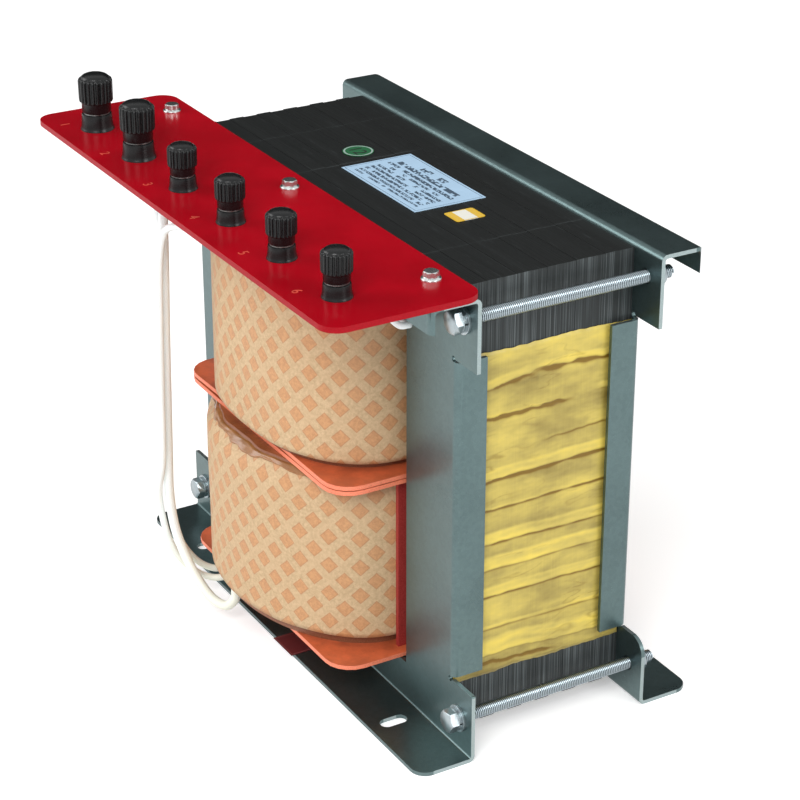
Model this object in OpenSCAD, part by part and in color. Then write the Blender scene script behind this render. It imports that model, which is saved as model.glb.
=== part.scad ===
// Laminated mains transformer on folded sheet frames, with a six-post terminal board.
// Millimetres. X runs along the terminal board, Y from front to rear, Z up from the mounting plane.

/* [Core] */
// Width of the core along the terminal board
core_w = 320; // [300:5:360]
// Thickness of the stack of laminations, front to rear
stack = 120; // [100:5:140]
// Width of each outer limb
limb_w = 50; // [40:1:52]
// Width of the centre limb
centre_limb_w = 100; // [90:1:102]
// Height of the top and bottom yokes
yoke_h = 20; // [16:1:26]
// Number of bundles that the stack is laid up in
bundles = 12; // [8:2:16]
// How far every second bundle stands back
bundle_step = 0.3; // [0:0.1:0.6]

/* [Frames] */
// Height of the folded frames
frame_h = 300; // [290:1:320]
// Height of the rails above and below the frame window
rail_h = 28.5; // [27:0.5:32]
// Distance of the core's top below the top of the frames
core_drop = 3.5; // [2:0.5:6]
// Sheet thickness of the frames
sheet_t = 2.5; // [2:0.1:3]
// Inner radius of the folds
bend_r = 1.5; // [1:0.1:2.5]
// Inner radius of the fold along the lip
lip_bend_r = 3; // [1:0.5:5]
// How far the ears reach past the core's side
ear_reach = 26.5; // [22:0.5:32]
// Height of the ears
ear_h = 45.4; // [38:0.2:52]
// Corner radius of the rear frame's lower ears
ear_corner_r = 11; // [2:1:16]
// Gap between the core's side and the folded edge
fold_gap = 3.3; // [2.8:0.1:5]
// Depth of the folded side edges
fold_d = 20.1; // [14:0.5:26]
// Radius of the relief holes at the ends of the folds
relief_r = 1.8; // [1:0.1:2.5]
// Depth of the top flanges
flange_d = 28.5; // [26:0.5:34]
// Height of the lip on the top flanges
lip_h = 17; // [10:1:20]
// Corner radius of the top flanges
flange_corner_r = 7; // [2:1:12]
// Depth of the feet
foot_d = 36; // [30:1:44]
// Corner radius of the feet
foot_corner_r = 10; // [4:1:16]
// Width of the mounting slots
slot_w = 9; // [6:0.5:11]
// Length of the mounting slots
slot_len = 18; // [12:1:20]
// Distance between the left and the right slots
slot_span = 256; // [200:2:280]
// Distance from the frame's outer face to the middle of a slot
slot_reach = 19.5; // [17:0.5:21]

/* [Tie bolts] */
// Thread diameter of the tie bolts
bolt_d = 8; // [6:1:9]
// Diameter of the bolt holes in the frames
bolt_hole_d = 9; // [9:0.2:10]
// Distance of a bolt's axis from the core's side
bolt_offset = 11.8; // [11:0.2:15]
// Height of the lower bolts
bolt_low_z = 23.2; // [20:0.2:30]
// Distance of the upper bolts below the top of the frames
bolt_top_drop = 17.6; // [16:0.2:26]
// Width of the bolt heads and nuts across flats
bolt_af = 13; // [13:0.5:16]
// Height of the bolt heads
head_h = 5.3; // [4:0.1:7]
// Height of the nuts
nut_h = 6.5; // [5:0.1:8]
// Diameter of the flat washers
washer_d = 17; // [15:0.5:18]
// Thickness of the flat washers
washer_t = 1.6; // [1:0.1:2.5]
// Diameter of the spring washers
spring_d = 14.2; // [12:0.2:16]
// Thickness of the spring washers
spring_t = 2.1; // [1:0.1:3]
// How far the bolts stand out of the nuts
bolt_end = 6; // [2:1:9]

/* [Limb tape] */
// Mean thickness of the tape on an outer limb
tape_t = 1.7; // [1.2:0.1:2.1]
// Depth of the creases in the tape
crease = 0.5; // [0:0.1:0.6]
// Height of the tape's lower edge above the core's underside
tape_low = 31; // [22:1:40]
// Distance of the tape's upper edge below the core's top
tape_top = 44; // [26:1:60]

/* [Bobbins] */
// Height of the lower bobbin
lower_bobbin_h = 123.5; // [105:0.5:135]
// Clearance between bobbins, frames and core
bobbin_fit = 0.3; // [0.2:0.1:0.4]
// Thickness of the bobbin flanges
cheek_t = 3; // [2:0.5:4]
// Width of the bobbin flanges
cheek_w = 207; // [180:1:212]
// Depth of the bobbin flanges
cheek_d = 212; // [190:2:230]
// Corner radius of the bobbin flanges
cheek_r = 18; // [6:1:30]
// Wall of the bobbin tubes
tube_t = 2.5; // [1.5:0.5:4]

/* [Coils] */
// Gap between the lower coil and the left limb
lower_gap_left = 5; // [3:1:12]
// Gap between the lower coil and the right limb
lower_gap_right = 17; // [8:1:24]
// Depth of the lower coil
lower_coil_d = 247; // [230:1:256]
// Roundness of the lower coil's ends
lower_coil_n = 1.95; // [1.8:0.05:3]
// Length of the lower coil's straight sides
lower_coil_side = 112; // [90:2:120]
// Gap between the upper coil and the outer limbs
upper_gap = 15; // [8:1:22]
// Depth of the upper coil
upper_coil_d = 232; // [222:1:250]
// Roundness of the upper coil's ends
upper_coil_n = 2.4; // [1.8:0.05:3]
// Length of the upper coil's straight sides
upper_coil_side = 93; // [80:1:110]
// Thickness of the paper wrapped around the coils
paper_t = 1; // [0.6:0.1:1.6]
// Distance of the lower coil's paper above its bobbin flange
lower_paper_gap = 7; // [4:0.5:9]
// Distance of the upper coil's paper from its bobbin flanges
upper_paper_gap = 4.5; // [4.4:0.1:8]
// Distance of the lower coil's paper below its upper flange
paper_top_gap = 1.5; // [0.5:0.5:4]
// How far the ends of the windings stand back behind the paper
margin = 5; // [3:0.5:8]
// Height of the film lapped over the lower coil's top edge
film_h = 9; // [5:1:16]
// Thickness of that film
film_t = 0.6; // [0.4:0.1:1]
// Thickness of the packing strip beside the lower coil
strip_t = 3; // [2:0.5:4]
// Width of the packing strip
strip_w = 14; // [8:1:20]

/* [Terminal board] */
// Length of the terminal board
board_w = 400; // [385:5:420]
// Depth of the terminal board
board_d = 97.5; // [90:0.5:105]
// Thickness of the terminal board
board_t = 3.5; // [3:0.5:5]
// Corner radius of the terminal board
board_r = 12; // [4:1:20]
// Sideways offset of the board from the core
board_shift = -10; // [-12:1:12]
// How far the board reaches back over the front frame
board_step = 0.5; // [0:0.5:2]
// Distance between the board's screws
board_screw_pitch = 166; // [150:1:172]
// Distance of the screws from the board's rear edge
board_screw_inset = 14.5; // [13:0.5:18]
// Thread diameter of the board's screws
screw_d = 5; // [4:0.5:6]
// Diameter of the screw heads' round flange
screw_flange_d = 11.8; // [10:0.2:13]

/* [Binding posts] */
// Distance between neighbouring posts
post_pitch = 64; // [50:1:66]
// Distance of the posts from the board's front edge
post_inset = 26.5; // [20:0.5:32]
// Sideways offset of the row of posts on the board
post_shift = 2; // [-4:1:4]
// Head diameter of the two large posts
large_post_d = 22; // [19:0.5:26]
// Height of the two large posts
large_post_h = 37; // [32:1:42]
// Head diameter of the four small posts
small_post_d = 18; // [17:0.5:22]
// Height of the four small posts
small_post_h = 29; // [25:1:34]
// Stud diameter of the large posts
large_stud_d = 8; // [6:0.5:8]
// Stud diameter of the small posts
small_stud_d = 6; // [5:0.5:6]
// Running clearance of the studs in the knobs' inserts
stud_fit = 0.06; // [0.03:0.01:0.1]
// Number of flutes around a knob
flutes = 20; // [14:1:24]
// Thickness of the clamp washers under the knobs
clamp_t = 0.8; // [0.5:0.1:1.2]
// Thickness of the nuts under the board
post_nut_h = 5; // [4:0.5:6]
// Thickness of the washers under the board
post_washer_t = 1.2; // [0.8:0.1:1.6]
// Thickness of the ring lugs
lug_t = 1.5; // [1:0.1:2]

/* [Labels] */
// Length of the rating label
label_w = 90; // [60:1:100]
// Width of the rating label
label_d = 50; // [30:1:60]
// Thickness of the labels
label_t = 0.3; // [0.2:0.1:0.5]
// Diameter of the round sticker
round_label_d = 20; // [10:1:26]
// Length of the foot's sticker
foot_label_w = 25; // [15:1:60]

/* [Leads] */
// Diameter of the thick sleeved lead
thick_lead_d = 6.4; // [5:0.2:7]
// Diameter of the thin sleeved leads
thin_lead_d = 4.6; // [4:0.2:5]
// Diameter of the right post's lead
right_lead_d = 4; // [3:0.2:5]

/* [Hidden] */
$fn = 64;

// The whole outline is centred over the origin.
half_core = core_w / 2;
half_stack = stack / 2;
core_x = -board_shift;
core_y = (half_stack - board_step + board_d - lower_coil_d / 2) / 2;
frame_w = core_w + 2 * ear_reach;
core_low = rail_h - yoke_h;
core_top = frame_h - core_drop;
bundle_t = stack / bundles;
window_half = half_core - limb_w;
window_h = frame_h - 2 * rail_h;
window_top = core_top - yoke_h;
lower_coil_w = 2 * window_half - lower_gap_left - lower_gap_right;
lower_coil_lean = (lower_gap_left - lower_gap_right) / 2;
upper_coil_w = 2 * (window_half - upper_gap);

fold_in = half_core + fold_gap;
fold_out = fold_in + sheet_t;
frame_face = half_stack + sheet_t;
slot_y = frame_face + slot_reach;
bolt_x = half_core + bolt_offset;
bolt_zs = [bolt_low_z, frame_h - bolt_top_drop];
head_y = frame_face + washer_t + spring_t;
nut_y = frame_face + washer_t;

lower_bobbin_z = rail_h + bobbin_fit;
upper_bobbin_z = lower_bobbin_z + lower_bobbin_h + bobbin_fit;
upper_bobbin_h = window_h - lower_bobbin_h - 3 * bobbin_fit;

board_rear = half_stack - board_step;
board_low = frame_h;
board_top = board_low + board_t;
screw_y = -(half_stack - board_step + board_screw_inset);
screw_xs = [for (i = [-1:1]) board_shift + i * board_screw_pitch];
screw_hole_d = screw_d + 0.5;
post_y = -(board_rear + board_d - post_inset);
post_xs = [for (i = [0:5]) board_shift + post_shift + (i - 2.5) * post_pitch];
post_ds = [for (i = [0:5]) i < 2 ? large_post_d : small_post_d];
post_hs = [for (i = [0:5]) i < 2 ? large_post_h : small_post_h];
stud_ds = [for (i = [0:5]) i < 2 ? large_stud_d : small_stud_d];
lug_z = board_low - post_washer_t - post_nut_h - lug_t;
stud_low = lug_z - post_nut_h - 2;

// Shares of a post's height at which its forms change
post_base_share = 0.29;
post_neck_share = 0.5;
post_shoulder_share = 0.86;

// Posts that carry a ring lug, with the direction in which its barrel points
lugs = [[1, 0], [2, 180], [3, 180], [5, 90]];
lug_reach = 16;

// Routes of the leads, in the core's own frame
thick_route = [
    [-56, -130.5, 293], [-60, -130.5, 293], [-67, -131, 287], [-71, -131, 272], [-72, -131, 250],
    [-74, -131, 220], [-76, -131, 190], [-78, -131, 150], [-80, -131, 110], [-81, -131, 78], [-77, -130, 54],
    [-67, -128, 37], [-53, -126, 25], [-38, -123, 17], [-28, -118, 15], [-25, -113, 20], [-25, -112, 26],
    [-25, -112, 31.8]
];
left_route = [
    [-88, -130.5, 293], [-85, -130.5, 293], [-80, -131, 287], [-79, -131, 270], [-82, -130, 225],
    [-85, -129, 180], [-87, -128, 140], [-88, -128, 100], [-88, -128, 75], [-88, -126, 52],
    [-86, -121, 34], [-82, -112, 20], [-77, -101, 14], [-74, -93, 18], [-74, -92, 24], [-74, -92, 31.8]
];
middle_route = [
    [8, -130.5, 293], [2, -130.5, 293], [-20, -136, 286], [-45, -137, 278], [-58, -137, 268],
    [-66, -137, 245], [-70, -137, 200], [-73, -137, 150], [-76, -137, 105], [-84, -137, 78],
    [-86, -133, 50], [-82, -128, 32], [-76, -118, 18], [-68, -107, 13], [-61, -97, 17], [-60, -95, 24],
    [-60, -95, 31.8]
];
right_route = [
    [152, -114.5, 293], [152, -110, 293], [152, -101, 287], [152, -92, 278], [148, -84, 275],
    [138, -78, 270], [124, -75, 266.5], [108, -76, 265.8], [85, -76, 265.8]
];
lead_holes = [[-60, -95], [-74, -92]];
lead_hole_d = 5.4;
lead_sides = 8;

// Facets of a coil's end, the angle left out at its tips, and the angles between which the film is lapped
end_facets = 36;
tip_angle = 0.5;
film_angles = [190, 310];
film_off = 0.1;

// Where the labels lie
rating_at = [4.5, 3.5];
round_at = [-62, 2.5];
small_at = [68, 2];
small_size = [16, 20];
foot_label_at = [18, -90];
foot_label_d = 22;

// ---- Shared shapes ----

module at_core() {
    translate([core_x, core_y, 0]) children();
}

module box(x, y, z) {
    translate([x[0], y[0], z[0]]) cube([x[1] - x[0], y[1] - y[0], z[1] - z[0]]);
}

module rounded_rect(w, d, r) {
    difference() {
        square([w, d], center = true);
        for (sx = [-1, 1], sy = [-1, 1]) scale([sx, sy]) translate([w / 2 - r, d / 2 - r]) corner_waste(r);
    }
}

// What a corner loses when it is rounded by r, in the quadrant away from the centre
module corner_waste(r) {
    difference() {
        square(r + 1);
        circle(r);
    }
}

module hex_prism(af, h) {
    intersection() {
        cylinder(d = af / cos(30), h = h, $fn = 6);
        cylinder(d1 = 2 * af, d2 = af * 0.98, h = h);
    }
}

module ring(d_out, d_in, h) {
    difference() {
        cylinder(d = d_out, h = h);
        translate([0, 0, -1]) cylinder(d = d_in, h = h + 2);
    }
}

// ---- Core ----

// Every second bundle has long limbs, the others long yokes, so the corners interlock.
function long_limbs(i) = i % 2 == 0;
function bundle_back(i) = long_limbs(i) ? 0 : bundle_step;
function bundle_y(i) = [i * bundle_t - half_stack, (i + 1) * bundle_t - half_stack];

module limb(x0, x1, inner) {
    for (i = [0:bundles - 1]) {
        side = inner ? 0 : bundle_back(i);
        low = long_limbs(i) ? core_low : core_low + yoke_h;
        top = long_limbs(i) ? core_top : core_top - yoke_h;
        box([x0, x1 - side], bundle_y(i), [low, top]);
    }
}

// z_out is the yoke's outer face and z_in its face at the windows
module yoke(z_out, z_in) {
    dir = sign(z_in - z_out);
    for (i = [0:bundles - 1]) {
        if (long_limbs(i)) {
            for (s = [-1, 1]) {
                xs = s * [centre_limb_w / 2, window_half];
                box([min(xs), max(xs)], bundle_y(i), [min(z_out, z_in), max(z_out, z_in)]);
            }
        } else {
            z = z_out + dir * bundle_step;
            box([bundle_step - half_core, half_core - bundle_step], bundle_y(i), [min(z, z_in), max(z, z_in)]);
        }
    }
}

module core_limb_right() {
    color([0.13, 0.13, 0.14]) at_core() limb(window_half, half_core, false);
}

module core_limb_left() {
    color([0.13, 0.13, 0.14]) at_core() mirror([1, 0, 0]) limb(window_half, half_core, false);
}

module core_limb_centre() {
    color([0.13, 0.13, 0.14]) at_core() limb(-centre_limb_w / 2, centre_limb_w / 2, true);
}

module core_yoke_top() {
    color([0.13, 0.13, 0.14]) at_core() yoke(core_top, window_top);
}

module core_yoke_bottom() {
    color([0.13, 0.13, 0.14]) at_core() yoke(core_low, core_low + yoke_h);
}

// ---- Frames: each is one folded sheet, drawn here as the rear one ----

// A quarter of a fold, with its centre at the origin
module bend(r) {
    intersection() {
        difference() {
            circle(r + sheet_t);
            circle(r);
        }
        square(r + sheet_t);
    }
}

// Section through the foot, the rails and the top flange, outward from the core's face
module frame_section() {
    c = sheet_t + bend_r;
    lip_c = flange_d - lip_bend_r;
    translate([0, c]) square([sheet_t, frame_h - 2 * c]);
    translate([c, c]) rotate(180) bend(bend_r);
    translate([c, 0]) square([foot_d + sheet_t - c, sheet_t]);
    translate([c, frame_h - c]) rotate(90) bend(bend_r);
    translate([c, frame_h - sheet_t]) square([lip_c - c, sheet_t]);
    translate([lip_c, frame_h - sheet_t - lip_bend_r]) bend(lip_bend_r);
    translate([flange_d, frame_h - lip_h]) square([sheet_t, lip_h - sheet_t - lip_bend_r]);
}

// Front view of the flat sheet between the folds
module frame_face_shape(low_ear_r) {
    difference() {
        union() {
            translate([-fold_in + bend_r, 0]) square([2 * (fold_in - bend_r), frame_h]);
            translate([-frame_w / 2, frame_h - ear_h]) square([frame_w, ear_h]);
            translate([-frame_w / 2, 0]) square([frame_w, ear_h]);
        }
        translate([-window_half, rail_h]) square([2 * window_half, window_h]);
        for (s = [-1, 1]) scale([s, 1]) {
            translate([frame_w / 2 - low_ear_r, ear_h - low_ear_r]) corner_waste(low_ear_r);
            for (z = [ear_h, frame_h - ear_h]) translate([fold_in - bend_r, z]) circle(relief_r);
        }
    }
}

module side_fold() {
    low = ear_h + relief_r;
    translate([0, 0, low]) linear_extrude(frame_h - 2 * low) {
        translate([fold_in - bend_r, -bend_r]) bend(bend_r);
        translate([fold_in, sheet_t - fold_d]) square([sheet_t, fold_d - sheet_t - bend_r]);
    }
}

module plan_corner(r, reach, z) {
    translate([frame_w / 2 - r, reach - r, z[0]]) linear_extrude(z[1] - z[0]) corner_waste(r);
}

module frame(low_ear_r) {
    translate([0, half_stack, 0]) {
        difference() {
            intersection() {
                rotate([90, 0, 90]) linear_extrude(frame_w, center = true) frame_section();
                rotate([90, 0, 0]) linear_extrude(2 * (foot_d + sheet_t) + 2, center = true) frame_face_shape(low_ear_r);
            }
            for (s = [-1, 1]) {
                scale([s, 1, 1]) {
                    plan_corner(foot_corner_r, foot_d + sheet_t, [-1, sheet_t + 1]);
                    plan_corner(flange_corner_r, flange_d + sheet_t, [frame_h - lip_h - 1, frame_h + 1]);
                    translate([slot_span / 2, sheet_t + slot_reach, -1]) slot();
                    for (z = bolt_zs) translate([bolt_x, sheet_t + 1, z]) rotate([90, 0, 0]) {
                        cylinder(d = bolt_hole_d, h = sheet_t + 2);
                    }
                }
            }
        }
        for (s = [0, 1]) mirror([s, 0, 0]) side_fold();
    }
}

module slot() {
    half = (slot_len - slot_w) / 2;
    linear_extrude(sheet_t + 2) {
        for (s = [-1, 1]) translate([0, s * half]) circle(d = slot_w);
        square([slot_w, 2 * half], center = true);
    }
}

module frame_front() {
    color([0.62, 0.66, 0.67]) at_core() difference() {
        mirror([0, 1, 0]) frame(1);
        for (x = screw_xs) translate([x, screw_y, frame_h - sheet_t - 1]) cylinder(d = screw_hole_d, h = sheet_t + 2);
    }
}

module frame_rear() {
    color([0.62, 0.66, 0.67]) at_core() frame(ear_corner_r);
}

// ---- Tie bolts, with their heads at the front ----

module at_bolts(y, out) {
    at_core() for (s = [-1, 1], z = bolt_zs) {
        translate([s * bolt_x, y, z]) rotate([out > 0 ? -90 : 90, 0, 0]) children();
    }
}

module tie_bolts() {
    length = head_y + nut_y + nut_h + bolt_end;
    color([0.75, 0.76, 0.78]) at_bolts(-head_y, -1) {
        hex_prism(bolt_af, head_h);
        translate([0, 0, 1 - length]) cylinder(d = bolt_d, h = length);
        translate([0, 0, -length]) cylinder(d1 = bolt_d - 2, d2 = bolt_d, h = 1);
    }
}

module tie_washers() {
    color([0.72, 0.74, 0.75]) {
        at_bolts(-frame_face, -1) ring(washer_d, bolt_d + 0.4, washer_t);
        at_bolts(frame_face, 1) ring(washer_d, bolt_d + 0.4, washer_t);
    }
}

module tie_spring_washers() {
    color([0.6, 0.62, 0.64]) at_bolts(-frame_face - washer_t, -1) difference() {
        ring(spring_d, bolt_d + 0.4, spring_t);
        translate([0, -0.5, -1]) cube([spring_d, 1, spring_t + 2]);
    }
}

module tie_nuts() {
    color([0.75, 0.76, 0.78]) at_bolts(nut_y, 1) difference() {
        hex_prism(bolt_af, nut_h);
        translate([0, 0, -1]) cylinder(d = bolt_d + 0.1, h = nut_h + 2);
    }
}

// ---- Tape on the outer limbs ----

function crease_wave(z) = sin(z * 17) * 0.5 + sin(z * 29 + 40) * 0.3 + sin(z * 53 + 110) * 0.2;

module limb_tape() {
    low = core_low + tape_low;
    top = core_top - tape_top;
    steps = 90;
    outer = [for (i = [0:steps]) let (z = low + (top - low) * i / steps) [tape_t + crease * crease_wave(z), z]];
    translate([half_core, half_stack - 0.5, 0]) rotate([90, 0, 0]) linear_extrude(stack - 1) {
        polygon(concat([[0, low]], outer, [[0, top]]));
    }
}

module limb_tape_right() {
    color([0.79, 0.7, 0.36]) at_core() limb_tape();
}

module limb_tape_left() {
    color([0.79, 0.7, 0.36]) at_core() mirror([1, 0, 0]) limb_tape();
}

// ---- Bobbins, windings and their wrapping ----

module cheek() {
    linear_extrude(cheek_t) rounded_rect(cheek_w, cheek_d, cheek_r);
}

module bobbin(h) {
    w_in = centre_limb_w + 2 * bobbin_fit;
    d_in = stack + 2 * bobbin_fit;
    difference() {
        union() {
            cheek();
            translate([0, 0, h - cheek_t]) cheek();
            linear_extrude(h) square([w_in + 2 * tube_t, d_in + 2 * tube_t], center = true);
        }
        translate([0, 0, -1]) linear_extrude(h + 2) square([w_in, d_in], center = true);
    }
}

module bobbin_lower() {
    color([0.84, 0.36, 0.22]) at_core() difference() {
        translate([0, 0, lower_bobbin_z]) bobbin(lower_bobbin_h);
        for (p = lead_holes) translate([p[0], p[1], lower_bobbin_z - 1]) cylinder(d = lead_hole_d, h = cheek_t + 2);
    }
}

module bobbin_upper() {
    color([0.84, 0.36, 0.22]) at_core() translate([0, 0, upper_bobbin_z]) bobbin(upper_bobbin_h);
}

function signed_power(v, p) = sign(v) * pow(abs(v), p);

// One rounded end of a coil seen from above, from angle a0 to a1, standing off by out
function coil_end(w, d, side, n, lean, out, a0, a1, steps) = [
    for (i = [0:steps]) let (a = a0 + (a1 - a0) * i / steps, s = a >= 180 ? -1 : 1) [
        lean + (w / 2 + out) * signed_power(cos(a), 2 / n),
        s * side / 2 + ((d - side) / 2 + out) * signed_power(sin(a), 2 / n)
    ]
];

module coil_outline(w, d, side, n, lean, out) {
    polygon(concat(
        coil_end(w, d, side, n, lean, out, tip_angle, 180 - tip_angle, end_facets),
        coil_end(w, d, side, n, lean, out, 180 + tip_angle, 360 - tip_angle, end_facets)
    ));
}

module lower_outline(out) {
    coil_outline(lower_coil_w, lower_coil_d, lower_coil_side, lower_coil_n, lower_coil_lean, out);
}

module upper_outline(out) {
    coil_outline(upper_coil_w, upper_coil_d, upper_coil_side, upper_coil_n, 0, out);
}

// The room that a winding needs around the bobbin's tube
module tube_room() {
    w = centre_limb_w + 2 * (bobbin_fit + tube_t);
    d = stack + 2 * (bobbin_fit + tube_t);
    square([w, d], center = true);
}

module winding_lower() {
    low = lower_bobbin_z + cheek_t;
    top = lower_bobbin_z + lower_bobbin_h - cheek_t - bobbin_fit;
    color([0.72, 0.42, 0.22]) at_core() difference() {
        union() {
            translate([0, 0, low]) linear_extrude(top - low) lower_outline(-margin);
            translate([0, 0, low + lower_paper_gap]) {
                linear_extrude(top - low - lower_paper_gap - paper_top_gap) lower_outline(-paper_t);
            }
        }
        translate([0, 0, low - 1]) linear_extrude(top - low + 2) tube_room();
    }
}

module winding_upper() {
    low = upper_bobbin_z + cheek_t;
    top = upper_bobbin_z + upper_bobbin_h - cheek_t - bobbin_fit;
    color([0.72, 0.42, 0.22]) at_core() difference() {
        union() {
            translate([0, 0, low]) linear_extrude(top - low) upper_outline(-margin);
            translate([0, 0, low + upper_paper_gap]) {
                linear_extrude(top - low - 2 * upper_paper_gap) upper_outline(-paper_t);
            }
        }
        translate([0, 0, low - 1]) linear_extrude(top - low + 2) tube_room();
    }
}

module paper_wrap_lower() {
    low = lower_bobbin_z + cheek_t + lower_paper_gap;
    top = lower_bobbin_z + lower_bobbin_h - cheek_t - bobbin_fit - paper_top_gap;
    color([0.83, 0.68, 0.5]) at_core() translate([0, 0, low]) linear_extrude(top - low) difference() {
        lower_outline(0);
        lower_outline(-paper_t);
    }
}

module paper_wrap_upper() {
    low = upper_bobbin_z + cheek_t + upper_paper_gap;
    top = upper_bobbin_z + upper_bobbin_h - cheek_t - bobbin_fit - upper_paper_gap;
    color([0.83, 0.68, 0.5]) at_core() translate([0, 0, low]) linear_extrude(top - low) difference() {
        upper_outline(0);
        upper_outline(-paper_t);
    }
}

// Number of the facet of a coil's front end that lies at angle a
function facet_at(a) = round((a - 180 - tip_angle) / (180 - 2 * tip_angle) * end_facets);

function front_end(out) = coil_end(
    lower_coil_w, lower_coil_d, lower_coil_side, lower_coil_n, lower_coil_lean, out,
    180 + tip_angle, 360 - tip_angle, end_facets
);

module film_lap() {
    top = lower_bobbin_z + lower_bobbin_h - cheek_t - bobbin_fit;
    first = facet_at(film_angles[0]);
    last = facet_at(film_angles[1]);
    inner = front_end(film_off);
    outer = front_end(film_off + film_t);
    color([0.6, 0.38, 0.2]) at_core() translate([0, 0, top - film_h]) linear_extrude(film_h) {
        polygon(concat([for (i = [first:last]) outer[i]], [for (i = [last:-1:first]) inner[i]]));
    }
}

module packing_strip() {
    low = lower_bobbin_z + cheek_t;
    top = lower_bobbin_z + lower_bobbin_h - cheek_t - bobbin_fit;
    x = lower_coil_lean + lower_coil_w / 2 + bobbin_fit;
    color([0.5, 0.1, 0.09]) at_core() box([x, x + strip_t], [-half_stack, strip_w - half_stack], [low, top]);
}

// ---- Terminal board ----

module terminal_board() {
    color([0.64, 0.02, 0.07]) at_core() difference() {
        translate([board_shift, -board_rear - board_d / 2, board_low]) {
            linear_extrude(board_t) rounded_rect(board_w, board_d, board_r);
        }
        for (x = screw_xs) translate([x, screw_y, board_low - 1]) cylinder(d = screw_hole_d, h = board_t + 2);
        for (i = [0:5]) translate([post_xs[i], post_y, board_low - 1]) cylinder(d = stud_ds[i] + 0.5, h = board_t + 2);
    }
}

module board_screws() {
    af = screw_d * 1.6;
    color([0.8, 0.81, 0.82]) at_core() for (x = screw_xs) translate([x, screw_y, board_top]) {
        cylinder(d1 = screw_flange_d, d2 = af, h = 1.4);
        translate([0, 0, 1]) hex_prism(af, screw_d * 0.75);
        translate([0, 0, -board_t - sheet_t - screw_d * 1.4]) cylinder(d = screw_d, h = board_t + sheet_t + screw_d * 1.4 + 1);
    }
}

module board_nuts() {
    color([0.75, 0.76, 0.78]) at_core() for (x = screw_xs) {
        translate([x, screw_y, frame_h - sheet_t]) mirror([0, 0, 1]) difference() {
            union() {
                cylinder(d = screw_d * 2, h = 1);
                hex_prism(screw_d * 1.6, screw_d * 0.9);
            }
            translate([0, 0, -1]) cylinder(d = screw_d + 0.1, h = screw_d + 2);
        }
    }
}

// ---- Binding posts ----

module at_post(i, z) {
    at_core() translate([post_xs[i], post_y, z]) children();
}

function base_h(i) = post_hs[i] * post_base_share;

module post_bases() {
    color([0.07, 0.07, 0.075]) for (i = [0:5]) at_post(i, board_top) rotate_extrude() {
        r = post_ds[i] / 2;
        h = base_h(i);
        polygon([
            [stud_ds[i] / 2 + 0.2, 0], [r * 0.96, 0], [r * 0.94, h * 0.12], [r * 0.9, h * 0.4],
            [r * 0.88, h * 0.9], [r * 0.82, h], [stud_ds[i] / 2 + 0.2, h]
        ]);
    }
}

module clamp_washer(i) {
    color([0.78, 0.74, 0.62]) at_post(i, board_top + base_h(i)) {
        ring(post_ds[i] * 0.78, stud_ds[i] + 2 * stud_fit, clamp_t);
    }
}

function knob_low(i) = base_h(i) + clamp_t;
function insert_h(i) = post_hs[i] * 0.42;

module knob_insert(i) {
    color([0.78, 0.62, 0.3]) at_post(i, board_top + knob_low(i)) {
        ring(stud_ds[i] + 3, stud_ds[i] + 2 * stud_fit, insert_h(i));
    }
}

// Section of a knob's smooth neck
module neck_section(i) {
    r = post_ds[i] / 2;
    low = knob_low(i);
    neck = post_hs[i] * post_neck_share;
    polygon([[0, low], [r * 0.82, low], [r * 0.86, low + 0.6], [r * 0.87, neck + 0.5], [0, neck + 0.5]]);
}

// Section of a knob's head, which widens upward to a domed crown
module head_section(i) {
    r = post_ds[i] / 2;
    h = post_hs[i];
    neck = h * post_neck_share;
    shoulder = h * post_shoulder_share;
    dome = [for (a = [0:22.5:90]) [r * (0.78 + 0.22 * cos(a)), shoulder + (h - shoulder) * 0.7 * sin(a)]];
    polygon(concat([[0, neck], [r * 0.92, neck]], dome, [[0, h]]));
}

// Plan of the flutes around a knob's head
module flute_plan(r) {
    step = 360 / flutes;
    shares = [[-0.3, 1.01], [0.1, 1.01], [0.26, 0.93], [0.54, 0.93]];
    polygon([for (k = [0:flutes - 1], s = shares) let (a = step * (k + s[0])) r * s[1] * [cos(a), sin(a)]]);
}

module knob(i) {
    r = post_ds[i] / 2;
    h = post_hs[i];
    neck = h * post_neck_share;
    bore = stud_ds[i];
    color([0.05, 0.05, 0.055]) at_post(i, board_top) difference() {
        union() {
            rotate_extrude() neck_section(i);
            intersection() {
                rotate_extrude() head_section(i);
                translate([0, 0, neck]) linear_extrude(h) flute_plan(r);
            }
        }
        translate([0, 0, -1]) cylinder(d = bore + 3, h = knob_low(i) + insert_h(i) + 1);
        translate([0, 0, -1]) cylinder(d = bore + 0.8, h = h * 0.84 + 1);
    }
}

module post_studs() {
    color([0.78, 0.62, 0.3]) for (i = [0:5]) at_post(i, stud_low) {
        cylinder(d = stud_ds[i], h = board_top + post_hs[i] * 0.68 - stud_low);
    }
}

module post_washers() {
    color([0.75, 0.76, 0.78]) for (i = [0:5]) at_post(i, board_low - post_washer_t) {
        ring(stud_ds[i] * 2, stud_ds[i] + 0.4, post_washer_t);
    }
}

module post_nuts() {
    color([0.78, 0.62, 0.3]) for (i = [0:5]) for (z = [lug_z + lug_t, lug_z - post_nut_h]) {
        at_post(i, z) difference() {
            hex_prism(stud_ds[i] * 1.6, post_nut_h);
            translate([0, 0, -1]) cylinder(d = stud_ds[i] + 0.1, h = post_nut_h + 2);
        }
    }
}

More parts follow.
